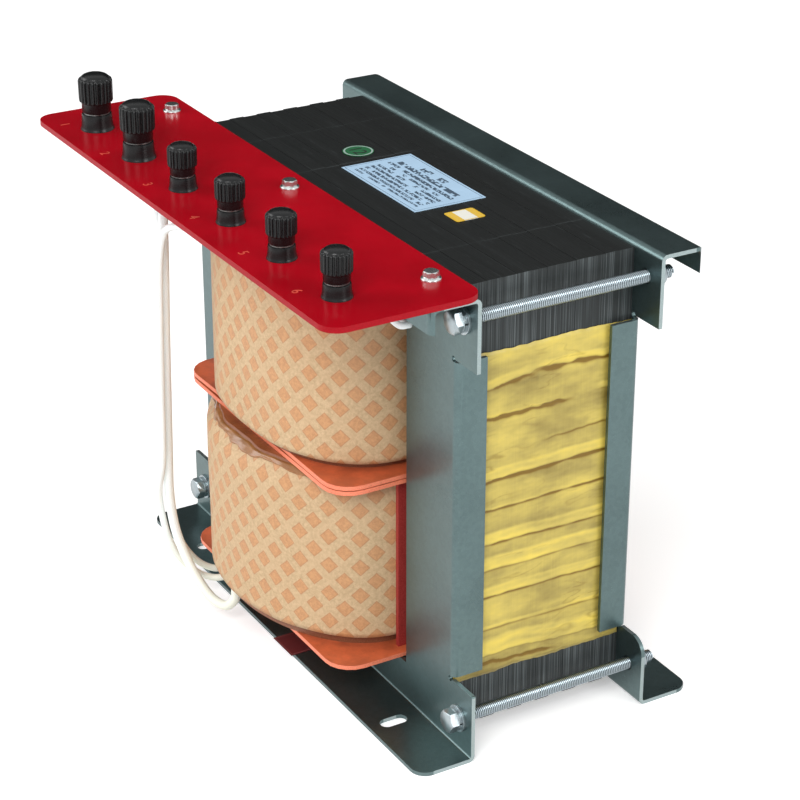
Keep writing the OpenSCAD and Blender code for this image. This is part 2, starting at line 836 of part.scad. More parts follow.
module ring_lugs() {
    color([0.72, 0.74, 0.75]) for (lug = lugs) at_post(lug[0], lug_z) rotate(lug[1]) {
        d = stud_ds[lug[0]];
        difference() {
            union() {
                cylinder(d = d * 2, h = lug_t);
                translate([0, -d / 2, 0]) cube([lug_reach - 6, d, lug_t]);
                translate([lug_reach - 8, 0, lug_t / 2]) rotate([0, 90, 0]) cylinder(d = 4, h = 8);
            }
            translate([0, 0, -1]) cylinder(d = d + 0.2, h = lug_t + 2);
        }
    }
}

// ---- Labels ----

module rating_label() {
    color([0.75, 0.85, 0.92]) at_core() translate([rating_at[0], rating_at[1], core_top]) linear_extrude(label_t) {
        square([label_w, label_d], center = true);
    }
}

module round_label() {
    color([0.1, 0.42, 0.2]) at_core() translate([round_at[0], round_at[1], core_top]) cylinder(d = round_label_d, h = label_t);
}

module small_label() {
    color([0.92, 0.88, 0.7]) at_core() translate([small_at[0], small_at[1], core_top]) linear_extrude(label_t) {
        rounded_rect(small_size[0], small_size[1], 1.5);
    }
}

module foot_label() {
    color([0.42, 0.14, 0.15]) at_core() translate([foot_label_at[0], foot_label_at[1], sheet_t]) {
        linear_extrude(label_t) square([foot_label_w, foot_label_d], center = true);
    }
}

// ---- Leads ----

function unit(v) = v / norm(v);
function tangent(route, i) = unit(route[min(i + 1, len(route) - 1)] - route[max(i - 1, 0)]);

// The section's first direction, carried along the route without turning
function carried(route, i) =
    i == 0 ? unit(cross(tangent(route, 0), [0.3, 1, 0.2]))
    : let (t = tangent(route, i), v = carried(route, i - 1)) unit(v - (v * t) * t);

module lead(route, d) {
    n = len(route);
    points = [
        for (i = [0:n - 1]) let (t = tangent(route, i), u = carried(route, i), v = cross(t, u))
            for (k = [0:lead_sides - 1]) let (a = 360 * k / lead_sides)
                route[i] + d / 2 * (cos(a) * u + sin(a) * v)
    ];
    sides = [
        for (i = [0:n - 2], k = [0:lead_sides - 1]) let (m = (k + 1) % lead_sides)
            [i * lead_sides + k, i * lead_sides + m, (i + 1) * lead_sides + m, (i + 1) * lead_sides + k]
    ];
    start = [for (k = [lead_sides - 1:-1:0]) k];
    end = [for (k = [0:lead_sides - 1]) (n - 1) * lead_sides + k];
    color([0.93, 0.94, 0.9]) at_core() polyhedron(points, concat([start], sides, [end]), convexity = 6);
}

module lead_thick() {
    lead(thick_route, thick_lead_d);
}

module lead_left() {
    lead(left_route, thin_lead_d);
}

module lead_middle() {
    lead(middle_route, thin_lead_d);
}

module lead_right() {
    lead(right_route, right_lead_d);
}

core_limb_left();
core_limb_centre();
core_limb_right();
core_yoke_top();
core_yoke_bottom();
frame_front();
frame_rear();
tie_bolts();
tie_washers();
tie_spring_washers();
tie_nuts();
limb_tape_left();
limb_tape_right();
bobbin_lower();
bobbin_upper();
winding_lower();
winding_upper();
paper_wrap_lower();
paper_wrap_upper();
film_lap();
packing_strip();
terminal_board();
board_screws();
board_nuts();
post_bases();
post_studs();
post_nuts();
post_washers();
ring_lugs();
clamp_washer(0);  // clamp_washer_1
clamp_washer(1);  // clamp_washer_2
clamp_washer(2);  // clamp_washer_3
clamp_washer(3);  // clamp_washer_4
clamp_washer(4);  // clamp_washer_5
clamp_washer(5);  // clamp_washer_6
knob_insert(0);  // knob_insert_1
knob_insert(1);  // knob_insert_2
knob_insert(2);  // knob_insert_3
knob_insert(3);  // knob_insert_4
knob_insert(4);  // knob_insert_5
knob_insert(5);  // knob_insert_6
knob(0);  // knob_1
knob(1);  // knob_2
knob(2);  // knob_3
knob(3);  // knob_4
knob(4);  // knob_5
knob(5);  // knob_6
rating_label();
round_label();
small_label();
foot_label();
lead_thick();
lead_left();
lead_middle();
lead_right();
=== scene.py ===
import bmesh, bpy, math
from mathutils import Matrix, Vector, noise


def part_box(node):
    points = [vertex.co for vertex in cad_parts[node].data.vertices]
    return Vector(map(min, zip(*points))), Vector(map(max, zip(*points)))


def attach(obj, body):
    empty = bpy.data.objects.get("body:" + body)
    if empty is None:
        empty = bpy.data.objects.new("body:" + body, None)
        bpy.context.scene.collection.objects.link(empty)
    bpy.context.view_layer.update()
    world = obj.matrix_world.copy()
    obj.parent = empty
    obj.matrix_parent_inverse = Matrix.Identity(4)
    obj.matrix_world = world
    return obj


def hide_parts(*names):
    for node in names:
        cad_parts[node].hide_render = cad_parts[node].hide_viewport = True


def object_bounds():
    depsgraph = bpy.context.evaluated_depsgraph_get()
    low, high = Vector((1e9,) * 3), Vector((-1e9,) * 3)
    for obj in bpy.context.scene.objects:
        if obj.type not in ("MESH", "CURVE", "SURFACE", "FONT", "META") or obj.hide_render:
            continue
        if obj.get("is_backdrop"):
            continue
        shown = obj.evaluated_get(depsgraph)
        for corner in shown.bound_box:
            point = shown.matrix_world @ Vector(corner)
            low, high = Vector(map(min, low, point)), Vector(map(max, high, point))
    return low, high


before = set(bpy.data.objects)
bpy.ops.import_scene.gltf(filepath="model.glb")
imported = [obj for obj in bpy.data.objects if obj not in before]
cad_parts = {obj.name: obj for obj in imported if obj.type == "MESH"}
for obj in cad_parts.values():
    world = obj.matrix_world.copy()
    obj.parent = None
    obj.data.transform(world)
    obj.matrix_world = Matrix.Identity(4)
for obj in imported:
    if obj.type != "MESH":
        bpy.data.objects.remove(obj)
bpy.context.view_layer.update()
mm = 0.001
origin = Vector((10, 16.75, 0))  # the core's middle, on the floor, in mm
print("frame loaded:", len(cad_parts), "nodes")


studio = {
    "cameraAt": (1.1822, -0.66885, 0.7982), "tilt": 64.385, "turn": 59.78, "lens": 105.4,
    "floorColour": (0.9, 0.9, 0.9), "floorGlow": 0.38, "worldLight": 0.5, "aim": (0, 0, 0.15),
    "flag": {"at": (-1.35, 0.75, 0.78), "size": (2.9, 1.35)},  # a black cloth that only reflections see
    "lamps": [  # name, place, size, watts
        ("keyLamp", (1.5, -1.5, 1.9), 1.3, 38), ("sideLamp", (2.0, 0.7, 1.1), 1.1, 16),
        ("fillLamp", (-1.4, -1.8, 1.3), 1.6, 25),
    ],
}


def linked(name, data):
    made = bpy.data.objects.new(name, data)
    bpy.context.scene.collection.objects.link(made)
    return made


def makeCamera():
    cam = linked("camera", bpy.data.cameras.new("camera"))
    cam.location = studio["cameraAt"]
    cam.rotation_euler = (math.radians(studio["tilt"]), 0, math.radians(studio["turn"]))
    cam.data.lens, cam.data.sensor_width = studio["lens"], 36
    cam.data.clip_start, cam.data.clip_end = 0.05, 50
    bpy.context.scene.camera = cam


def makeLamps():
    for name, place, size, watts in studio["lamps"]:
        lamp = bpy.data.lights.new(name, "AREA")
        lamp.shape, lamp.size, lamp.energy = "DISK", size, watts
        holder = linked(name, lamp)
        holder.location = place
        aim = Vector(studio["aim"]) - Vector(place)
        holder.rotation_euler = aim.to_track_quat("-Z", "Y").to_euler()


class Sock:  # a shader socket that takes part in sums
    def __init__(self, look, link):
        self.look, self.link = look, link

    def maths(self, kind, *others, flip=False):
        values = list(others) + [self] if flip else [self, *others]
        return self.look.node("ShaderNodeMath", {"operation": kind}, *values)

    def __add__(self, o):
        return self.maths("ADD", o)

    def __sub__(self, o):
        return self.maths("SUBTRACT", o)

    def __rsub__(self, o):
        return self.maths("SUBTRACT", o, flip=True)

    def __mul__(self, o):
        return self.maths("MULTIPLY", o)

    def __truediv__(self, o):
        return self.maths("DIVIDE", o)

    def __rtruediv__(self, o):
        return self.maths("DIVIDE", o, flip=True)

    def __pow__(self, o):
        return self.maths("POWER", o)

    def __gt__(self, o):
        return self.maths("GREATER_THAN", o)

    def __lt__(self, o):
        return self.maths("LESS_THAN", o)

    __radd__, __rmul__ = __add__, __mul__

    def __abs__(self):
        return self.maths("ABSOLUTE")

    def fract(self):
        return self.maths("FRACT")

    def floor(self):
        return self.maths("FLOOR")

    def top(self, o):
        return self.maths("MAXIMUM", o)

    def low(self, o):
        return self.maths("MINIMUM", o)

    def ramp(self, a, b):  # 0 below a, 1 above b
        return self.look.node("ShaderNodeMapRange", {"interpolation_type": "SMOOTHSTEP"}, self, a, b, 0, 1)


class Shading:  # the nodes that feed one shader
    def __init__(self, tree, shader):
        self.tree, self.shader = tree, tree.nodes[shader]

    def put(self, name, value):
        self.feed(self.shader.inputs[name], value)

    def feed(self, socket, value):
        if isinstance(value, Sock):
            self.tree.links.new(value.link, socket)
        elif hasattr(socket.default_value, "__len__") and not hasattr(value, "__len__"):
            socket.default_value = [value] * len(socket.default_value)
        elif hasattr(value, "__len__") and len(value) == 3 and len(socket.default_value) == 4:
            socket.default_value = (*value, 1)
        else:
            socket.default_value = value

    def node(self, kind, settings, *values, out=0, **named):
        made = self.tree.nodes.new(kind)
        for key, value in settings.items():
            if key == "stops":
                band = made.color_ramp
                while len(band.elements) < len(value):
                    band.elements.new(0.5)
                for stop, (place, colour) in zip(band.elements, value):
                    stop.position, stop.color = place, (*colour, 1)
            else:
                setattr(made, key, value)
        for socket, value in zip(made.inputs, values):
            self.feed(socket, value)
        for key, value in named.items():
            self.feed(made.inputs[key.replace("_", " ")], value)
        return Sock(self, made.outputs[out])

    def place(self):
        return self.node("ShaderNodeTexCoord", {}, out=3)

    def parts(self, vector):
        made = self.tree.nodes.new("ShaderNodeSeparateXYZ")
        self.feed(made.inputs[0], vector)
        return [Sock(self, o) for o in made.outputs]

    def join(self, x, y, z):
        return self.node("ShaderNodeCombineXYZ", {}, x, y, z)

    def facing(self):
        return self.parts(self.node("ShaderNodeNewGeometry", {}, out=1))

    def noise(self, vector, scale, detail=3.0, rough=0.5):
        return self.node("ShaderNodeTexNoise", {}, Vector=vector, Scale=scale, Detail=detail, Roughness=rough)

    def cells(self, vector, scale):
        return self.node("ShaderNodeTexVoronoi", {}, Vector=vector, Scale=scale, out=1)

    def mix(self, share, a, b):
        made = self.tree.nodes.new("ShaderNodeMix")
        made.data_type = "RGBA"
        self.feed(made.inputs[0], share)
        self.feed(made.inputs[6], a)
        self.feed(made.inputs[7], b)
        return Sock(self, made.outputs[2])

    def bump(self, height, strength, deep):  # deep in mm
        bumped = self.node("ShaderNodeBump", {}, Strength=strength, Distance=deep * mm, Height=height)
        self.put("Normal", bumped)

    def backdropShare(self):  # 1 for the rays that see plain white
        rays = self.tree.nodes.new("ShaderNodeLightPath")
        kinds = ("Is Camera Ray", "Is Glossy Ray", "Is Transmission Ray")
        camera, glossy, through = [Sock(self, rays.outputs[kind]) for kind in kinds]
        return (camera + glossy + through).low(1)


class Look(Shading):
    def __init__(self, name, colour=(0.5, 0.5, 0.5), rough=0.5, metal=0.0, **fixed):
        self.material = bpy.data.materials.new(name)
        self.material.use_nodes = True
        super().__init__(self.material.node_tree, "Principled BSDF")
        self.put("Base Color", colour)
        self.put("Roughness", rough)
        self.put("Metallic", metal)
        for key, value in fixed.items():
            self.put(key.replace("_", " "), value)


def streaks(look, stretch, scale, detail=4):
    x, y, z = look.parts(look.place())
    return look.noise(look.join(x * stretch[0], y * stretch[1], z * stretch[2]), scale, detail, 0.6)


sheets = {"joints": ((-46, 0.5), (108, 0.35), (-112, 0.35))}  # each joint's place across the top, and width


def coreLook():
    look = Look("varnishedSheets", Specular_IOR_Level=0.16)
    x, y, z = look.parts(look.place())
    facing = look.facing()
    sheet = look.node("ShaderNodeTexWhiteNoise", {"noise_dimensions": "1D"}, W=(y * 1900).floor())
    stack = streaks(look, (1.5, 340, 1.5), 1.0, 5)
    patch = streaks(look, (7, 36, 12), 1.0, 3)
    onTop = facing[2].ramp(0.5, 0.8)
    onSide = abs(facing[0]).ramp(0.5, 0.8)
    # the sides, where the sheets' edges show, are lighter: partly the edges' own grey lines, partly a painted
    # sheen in patches
    edgeLinesAndSheen = (sheet ** 3.0) * 0.75 + stack.ramp(0.5, 0.72) * 0.4
    bright = onSide * (edgeLinesAndSheen * patch.ramp(0.25, 0.7) * 0.30 + 0.03)
    bright = bright + onTop * (sheet ** 6) * stack.ramp(0.5, 0.75) * 0.05
    dust = streaks(look, (40, 700, 40), 1.0, 2).ramp(0.64, 0.74) * 0.03
    joint = 0.0
    for at, width in sheets["joints"]:
        uneven = (look.noise(look.join(y * 70, 0, 0), 1.0) - 0.5) * 1.2 * mm
        gap = abs(x - (at + origin.x) * mm + uneven)
        joint = joint + (gap < width * mm * 0.5)
    bright = bright + dust + joint * onTop * 0.12 * patch.ramp(0.3, 0.6)
    look.put("Base Color", look.mix(bright.low(1), (0.0115, 0.0128, 0.0125), (0.58, 0.66, 0.68)))
    look.put("Roughness", 0.4 + sheet * 0.16)
    look.put("Metallic", onSide * edgeLinesAndSheen.low(1) * 0.6)
    look.bump(sheet * 0.6 + stack * 0.4, 0.15, 0.3)
    return look.material


def zincLook(name, tone, rough, spangle, metal):
    look = Look(name, metal=metal)
    place = look.place()
    cell = look.cells(place, 260 * spangle)
    cloud = look.noise(place, 14, 4, 0.6)
    speck = look.noise(place, 1400, 2, 0.6)
    scratch = streaks(look, (700, 700, 16), 1.0, 3)
    cellA, cellB = look.parts(cell)[:2]
    share = 0.42 + (cellA - 0.5) * 0.1 + (cloud - 0.5) * 0.6 + (speck - 0.5) * 0.3
    spots = speck.ramp(0.70, 0.76) * 0.6
    dark, light = [c * 0.62 for c in tone], [min(1, c * 1.6) for c in tone]
    rim = look.node("ShaderNodeAttribute", {"attribute_name": "rim"}, out=2)
    share = share + spots + scratch.ramp(0.66, 0.74) * 0.15
    face = look.mix(share.low(1).top(0), dark, light)
    # rim faces are mixed towards a pale colour: a painted highlight, and on the cut edges also their bare
    # metal
    look.put("Base Color", look.mix(rim * (0.45 + speck * 0.5), face, (0.50, 0.58, 0.58)))
    look.put("Roughness", rough + (cloud - 0.5) * 0.16 + (speck - 0.5) * 0.12)
    look.bump(speck * 0.5 + cellB * 0.3 + scratch * 0.2, 0.12, 0.2)
    return look.material


dots = {"pitch": 13.9, "half": 0.3}  # how far apart in mm, and half a dot's width as a share of that


def paperLook():
    look = Look("dottedPaper")
    u, v = look.parts(look.node("ShaderNodeUVMap", {"uv_map": "wrap"}))[:2]
    place = look.place()
    diagonal, half = dots["pitch"] * mm * 1.4142, dots["half"]
    wobble = (look.noise(place, 160, 2) - 0.5) * 0.05
    a = abs(((u + v) / diagonal + wobble).fract() - 0.5)
    b = abs(((u - v) / diagonal + wobble).fract() - 0.5)
    worn = look.noise(place, 900, 3, 0.7)
    dot = 1 - (a.top(b) + (worn - 0.5) * 0.03).ramp(half - 0.018, half + 0.018)
    rim = dot * a.top(b).ramp(half - 0.06, half - 0.01)
    fibre = look.noise(place, 480, 5, 0.75)
    cloud = look.noise(place, 45, 4, 0.6)
    ground = look.mix(fibre.ramp(0.3, 0.72), (0.47, 0.318, 0.172), (0.65, 0.475, 0.278))
    ground = look.mix(cloud.ramp(0.35, 0.7) * 0.4, ground, (0.60, 0.41, 0.235))
    resin = look.mix(fibre.ramp(0.3, 0.7), (0.48, 0.235, 0.10), (0.62, 0.33, 0.15))
    resin = look.mix(rim * 0.55, resin, (0.36, 0.165, 0.075))
    specks = worn.ramp(0.73, 0.78) * 0.45
    look.put("Base Color", look.mix(specks, look.mix(dot, ground, resin), (0.85, 0.72, 0.52)))
    look.put("Roughness", 0.66 - dot * 0.14 + (fibre - 0.5) * 0.1)
    look.bump(dot * 0.6 + fibre * 0.25, 0.35, 0.25)
    return look.material


def filmLook():
    look = Look("yellowFilm", Specular_IOR_Level=0.35)
    bright = look.node("ShaderNodeAttribute", {"attribute_name": "bright"}, out=2)
    shade = look.node("ShaderNodeAttribute", {"attribute_name": "shade"}, out=2)
    brush = streaks(look, (20, 26, 150), 1.0, 5)
    lines = streaks(look, (20, 1100, 22), 1.0, 3)
    cloud = streaks(look, (14, 14, 34), 1.0, 4)
    patch = streaks(look, (30, 34, 60), 1.0, 3)
    # the crease bands are lifted by a painted highlight
    tone = bright * 0.5 + (cloud - 0.5) * 1.3 + (patch - 0.5) * 0.75 + (brush - 0.5) * 0.35
    tone = tone + (lines - 0.5) * 0.14 * (1 - bright).top(0) + 0.40
    stops = [
        (0.0, (0.20, 0.145, 0.03)), (0.3, (0.38, 0.295, 0.07)),
        (0.6, (0.58, 0.455, 0.10)), (1.0, (0.82, 0.63, 0.10)),
    ]
    body = look.node("ShaderNodeValToRGB", {"stops": stops}, tone)
    # the crease grooves are mixed towards dark brown as painted shade
    look.put("Base Color", look.mix((shade * 1.5).low(0.95), body, (0.17, 0.09, 0.003)))
    look.put("Roughness", 0.36 + (brush - 0.5) * 0.2 + shade * 0.2)
    look.put("Coat Weight", 0.1)
    look.bump(brush * 0.5 + patch * 0.6 + lines * 0.2, 0.35, 0.5)
    return look.material


def fibreLook(name, colour, edge, rough=0.42):
    look = Look(name)
    place = look.place()
    cloud = look.noise(place, 60, 4, 0.6)
    grain = look.noise(place, 1500, 3, 0.6)
    onEdge = 1 - abs(look.facing()[2]).ramp(0.4, 0.8)
    face = look.mix(cloud.ramp(0.3, 0.72), [c * 0.72 for c in colour], [min(1, c * 1.12) for c in colour])
    rim = look.mix(grain.ramp(0.35, 0.7), edge, [min(1, c * 1.25 + 0.02) for c in edge])
    stain = look.noise(place, 420, 2, 0.5).ramp(0.66, 0.72) * 0.35
    look.put("Base Color", look.mix(stain, look.mix(onEdge, face, rim), [c * 0.55 for c in colour]))
    look.put("Roughness", rough + (cloud - 0.5) * 0.18 + onEdge * 0.12)
    look.bump(grain, 0.1, 0.2)
    return look.material


def boardLook():
    look = Look("redBoard", Specular_IOR_Level=0.15)
    place = look.place()
    onEdge = 1 - abs(look.facing()[2]).ramp(0.5, 0.85)
    cloud = look.noise(place, 22, 4, 0.55)
    grain = look.noise(place, 1100, 2, 0.6)
    face = look.mix(cloud.ramp(0.3, 0.7), (0.35, 0.0003, 0.0065), (0.44, 0.0005, 0.009))
    rim = look.mix(grain.ramp(0.3, 0.7), (0.30, 0.0006, 0.006), (0.38, 0.003, 0.011))
    look.put("Base Color", look.mix(onEdge, face, rim))
    look.put("Roughness", 0.2 + (cloud - 0.5) * 0.1 + onEdge * 0.25)
    look.bump(cloud * 0.7 + grain * 0.05, 0.1, 1.2)
    return look.material


def plasticLook():
    look = Look("blackPlastic", Specular_IOR_Level=0.3)
    place = look.place()
    grain = look.noise(place, 900, 3, 0.6)
    scuff = look.noise(place, 320, 4, 0.65).ramp(0.62, 0.75)
    look.put("Base Color", look.mix(scuff * 0.3, (0.005, 0.0056, 0.006), (0.03, 0.034, 0.035)))
    look.put("Roughness", 0.24 + grain * 0.08 + scuff * 0.15)
    look.bump(grain, 0.08, 0.2)
    return look.material


def metalLook(name, dark, light, rough):
    look = Look(name, metal=1.0)
    place = look.place()
    cloud = look.noise(place, 130, 4, 0.6)
    grain = look.noise(place, 1600, 2, 0.6)
    look.put("Base Color", look.mix((cloud * 0.7 + grain * 0.3).ramp(0.32, 0.68), dark, light))
    look.put("Roughness", rough + (cloud - 0.5) * 0.14)
    look.bump(grain, 0.08, 0.1)
    return look.material


def threadLook():
    look = Look("threadedSteel", metal=1.0)
    x, y, z = look.parts(look.place())
    across = abs(abs(x - origin.x * mm) - bolts["x"] * mm)
    along = abs(z - bolts["z"][0] * mm).low(abs(z - bolts["z"][1] * mm))
    radius = (across * across + along * along) ** 0.5
    unshadedCrest = radius.ramp((bolts["root"] + 0.08) * mm, (bolts["r"] - 0.12) * mm)
    cloud = look.noise(look.place(), 130, 4, 0.6)
    # the thread's roots are painted near black as shade, and the crests keep the steel's colour
    look.put("Base Color", look.mix(unshadedCrest, (0.05, 0.06, 0.065), (0.42, 0.49, 0.53)))
    look.put("Roughness", 0.3 + (cloud - 0.5) * 0.2)
    return look.material


def sleeveLook():
    look = Look("whiteSleeve", rough=0.5)
    u, v = look.parts(look.node("ShaderNodeUVMap", {"uv_map": "sleeve"}))[:2]
    place = look.place()
    tint = look.noise(place, 14, 3, 0.6)
    braidA = abs((u * 420 + v * 8).fract() - 0.5)
    braidB = abs((u * 420 - v * 8).fract() - 0.5)
    weave = braidA.low(braidB)
    height = look.parts(place)[2]
    aged = (1 - height.ramp(15 * mm, 60 * mm)) * 0.55 + tint.ramp(0.55, 0.75) * 0.15
    base = look.mix(aged, (0.95, 1.0, 1.0), (0.92, 0.92, 0.68))
    turn = v * 2 * math.pi
    ripple = look.noise(look.join(u * 8, turn.maths("SINE") * 3, turn.maths("COSINE") * 3), 1.0, 3)
    fold = ripple.ramp(0.5, 0.62) * 0.12
    # the braid's grooves and the sleeve's folds are mixed towards grey as painted shade
    look.put("Base Color", look.mix((1 - weave.ramp(0.02, 0.2)) * 0.07 + fold, base, (0.52, 0.55, 0.5)))
    look.bump(weave, 0.35, 0.25)
    return look.material


def printedRow(look, x, y, at, thick):
    # dashes like small letters in words, for a row this thick
    cell = look.join((x / (0.4 * thick * mm)).floor(), (y / (thick * mm / 3)).floor(), 0)
    letters = look.node("ShaderNodeTexWhiteNoise", {"noise_dimensions": "2D"}, Vector=cell) > 0.27
    word = (x / (1.9 * thick * mm)).floor() + at
    return letters * (look.node("ShaderNodeTexWhiteNoise", {"noise_dimensions": "1D"}, W=word) > 0.1)


def labelLook(name, node, colour, ink, border, rows=(), bands=0.0):
    # border from and to, rows' place, thickness and inset, all in mm; bands is a share of the depth
    look = Look(name, rough=0.35)
    low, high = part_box(node)
    x, y, z = look.parts(look.place())
    middle, size = (low + high) / 2, high - low
    fromX = size.x / 2 - abs(x - middle.x)
    fromY = size.y / 2 - abs(y - middle.y)
    near = fromX.low(fromY)
    paint = (near > border[0] * mm) * (near < border[1] * mm)
    for at, thick, inset in rows:
        line = abs(y - (middle.y + at * mm)) < thick * mm / 2
        paint = paint + line * printedRow(look, x, y, at, thick) * (fromX > inset * mm)
    if bands:
        paint = paint + (fromY < bands * size.y)
    grain = look.noise(look.place(), 1800, 2, 0.6)
    fade = look.noise(look.place(), 60, 3, 0.5)
    ground = look.mix(fade, [c * 0.93 for c in colour], [min(1, c * 1.05) for c in colour])
    look.put("Base Color", look.mix((paint * (0.7 + grain * 0.5)).low(1), ground, ink))
    look.put("Roughness", 0.3 + fade * 0.12)
    look.bump(grain, 0.05, 0.1)
    return look.material


def ringLabel(name, node):
    look = Look(name, rough=0.4)
    low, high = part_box(node)
    x, y, z = look.parts(look.place())
    x, y = x - (low.x + high.x) / 2, y - (low.y + high.y) / 2
    radius = (x * x + y * y) ** 0.5 / ((high.x - low.x) / 2)
    ring = (radius > 0.84) * (radius < 0.95)
    fade = look.noise(look.place(), 60, 3, 0.5)
    field = look.mix(fade, (0.012, 0.11, 0.04), (0.02, 0.15, 0.055))
    look.put("Base Color", look.mix(ring, field, (0.35, 0.46, 0.42)))
    return look.material


def addPiece(name, bm, material, body="chassis", replaces=(), smoothAngle=35):
    mesh = bpy.data.meshes.new(name)
    bm.to_mesh(mesh)
    bm.free()
    piece = linked(name, mesh)
    mesh.materials.append(material)
    for face in mesh.polygons:
        face.use_smooth = True
    mesh.set_sharp_from_angle(angle=math.radians(smoothAngle))
    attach(piece, body)
    if replaces:
        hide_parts(*replaces)
    return piece


def outward(bm, way=None):
    # turns the faces outward, or an open sheet's faces this way
    bmesh.ops.recalc_face_normals(bm, faces=bm.faces)
    if way and sum(face.normal.dot(way) for face in bm.faces) < 0:
        bmesh.ops.reverse_faces(bm, faces=bm.faces)


def vertsOf(geom):
    return [g for g in geom if isinstance(g, bmesh.types.BMVert)]


def pour(single, bm):
    mesh = bpy.data.meshes.new("poured")
    single.to_mesh(mesh)
    single.free()
    bm.from_mesh(mesh)
    bpy.data.meshes.remove(mesh)


def bevelEdges(piece, width, segments=2, angle=40):
    cut = piece.modifiers.new("edges", "BEVEL")
    cut.width, cut.segments = width, segments
    cut.limit_method, cut.angle_limit = "ANGLE", math.radians(angle)
    cut.harden_normals = True


def mergedCopy(node):
    bm = bmesh.new()
    bm.from_mesh(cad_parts[node].data)
    bmesh.ops.remove_doubles(bm, verts=bm.verts, dist=0.002 * mm)
    bmesh.ops.dissolve_limit(bm, angle_limit=math.radians(0.6), verts=bm.verts, edges=bm.edges)
    return bm


def softened(node, material, width, body="chassis", segments=2, name=None):
    piece = addPiece(name or node + "_soft", mergedCopy(node), material, body, (node,))
    bevelEdges(piece, width, segments)
    return piece


# which face widths count as rims, and how much painted highlight a cut edge and a fold get
rims = {"narrow": (0.6, 2.45), "cutEdge": 0.75, "fold": 0.06}


def rimFaces(piece):
    # marks the cut edges of a sheet, which are bare metal with a painted highlight, and its folds, which get
    # a faint painted highlight
    layer = piece.data.attributes.new("rim", "FLOAT", "FACE")
    mesh = piece.data
    least, most = rims["narrow"]
    for face in mesh.polygons:
        corners = [mesh.vertices[i].co for i in face.vertices]
        around = sum((a - b).length for a, b in zip(corners, corners[1:] + corners[:1]))
        square = max(abs(n) for n in face.normal) > 0.999
        if least * mm < 2 * face.area / around < most * mm:
            layer.data[face.index].value = rims["cutEdge" if square else "fold"]


def dress(node, material):
    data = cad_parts[node].data
    data.materials.clear()
    data.materials.append(material)


def revolve(bm, profile, centre, steps):
    # turns a profile of radius and height all the way round
    verts = [bm.verts.new((r, 0, z)) for r, z in profile]
    edges = [bm.edges.new(pair) for pair in zip(verts, verts[1:])]
    bmesh.ops.spin(
        bm, geom=verts + edges, cent=(0, 0, 0), axis=(0, 0, 1),
        angle=2 * math.pi, steps=steps, use_merge=True)
    bmesh.ops.remove_doubles(bm, verts=bm.verts, dist=1e-6)
    outward(bm)
    bmesh.ops.translate(bm, verts=bm.verts, vec=centre)


coils = {  # width and depth, straight side, how square the ends are, and how far it stands off the middle
    "lower": {"w": 198, "d": 247, "side": 112, "n": 1.95, "lean": -6, "node": "paper_wrap_lower"},
    "upper": {"w": 190, "d": 232, "side": 93, "n": 2.4, "lean": 0, "node": "paper_wrap_upper"},
}


shoulder = {"deep": 13, "inward": 9.5}  # where the lower coil's wrap leans in


def runAlong(points):
    run = [0.0]
    for a, b in zip(points, points[1:]):
        run.append(run[-1] + (b - a).length)
    return run


def evenSteps(outline, count):
    # the closed outline as this many points, evenly spaced, and its length
    outline = outline + outline[:1]
    run = runAlong(outline)
    points, k = [], 0
    for i in range(count):
        want = run[-1] * i / count
        while run[k + 1] < want:
            k += 1
        share = (want - run[k]) / max(run[k + 1] - run[k], 1e-9)
        points.append(outline[k].lerp(outline[k + 1], share))
    return points, run[-1]


def edgeRing(bm, points, z):
    verts = [bm.verts.new((p.x * mm, p.y * mm, z)) for p in points]
    return [bm.edges.new(pair) for pair in zip(verts, verts[1:] + verts[:1])]


def leanIn(at, top, coil):
    # how far the lower coil's wrap leans in under the flange, across the front
    x, y = at.x / mm - origin.x - coil["lean"], at.y / mm - origin.y
    across = min(1, max(0, (-y - 38) / 40))
    up = min(1, max(0, 1 - (top - at.z) / (shoulder["deep"] * mm)))
    crumple = 0.85 + 0.5 * noise.noise(Vector((x * 0.045, y * 0.045, 3)))
    inward = Vector((-x, max(-coil["side"] / 2, y) - y, 0)).normalized()
    return inward * shoulder["inward"] * mm * across * across * (3 - 2 * across) * up ** 1.7 * crumple


def coilPoints(coil, out, count):
    # a coil's outline this far outside its wrap: two rounded ends with short straight sides
    def power(v, p):
        return math.copysign(abs(v) ** p, v)

    outline = []
    for start, end in ((0.5, 1), (180.5, -1)):
        for k in range(721):
            a = math.radians(start + 179 * k / 720)
            x = coil["lean"] + (coil["w"] / 2 + out) * power(math.cos(a), 2 / coil["n"])
            bulge = ((coil["d"] - coil["side"]) / 2 + out) * power(math.sin(a), 2 / coil["n"])
            outline.append(Vector((x, end * coil["side"] / 2 + bulge, 0)))
    points, around = evenSteps(outline, count)
    return [p + origin for p in points], around


wraps = {"columns": 260, "rings": 34, "wall": 0.7}


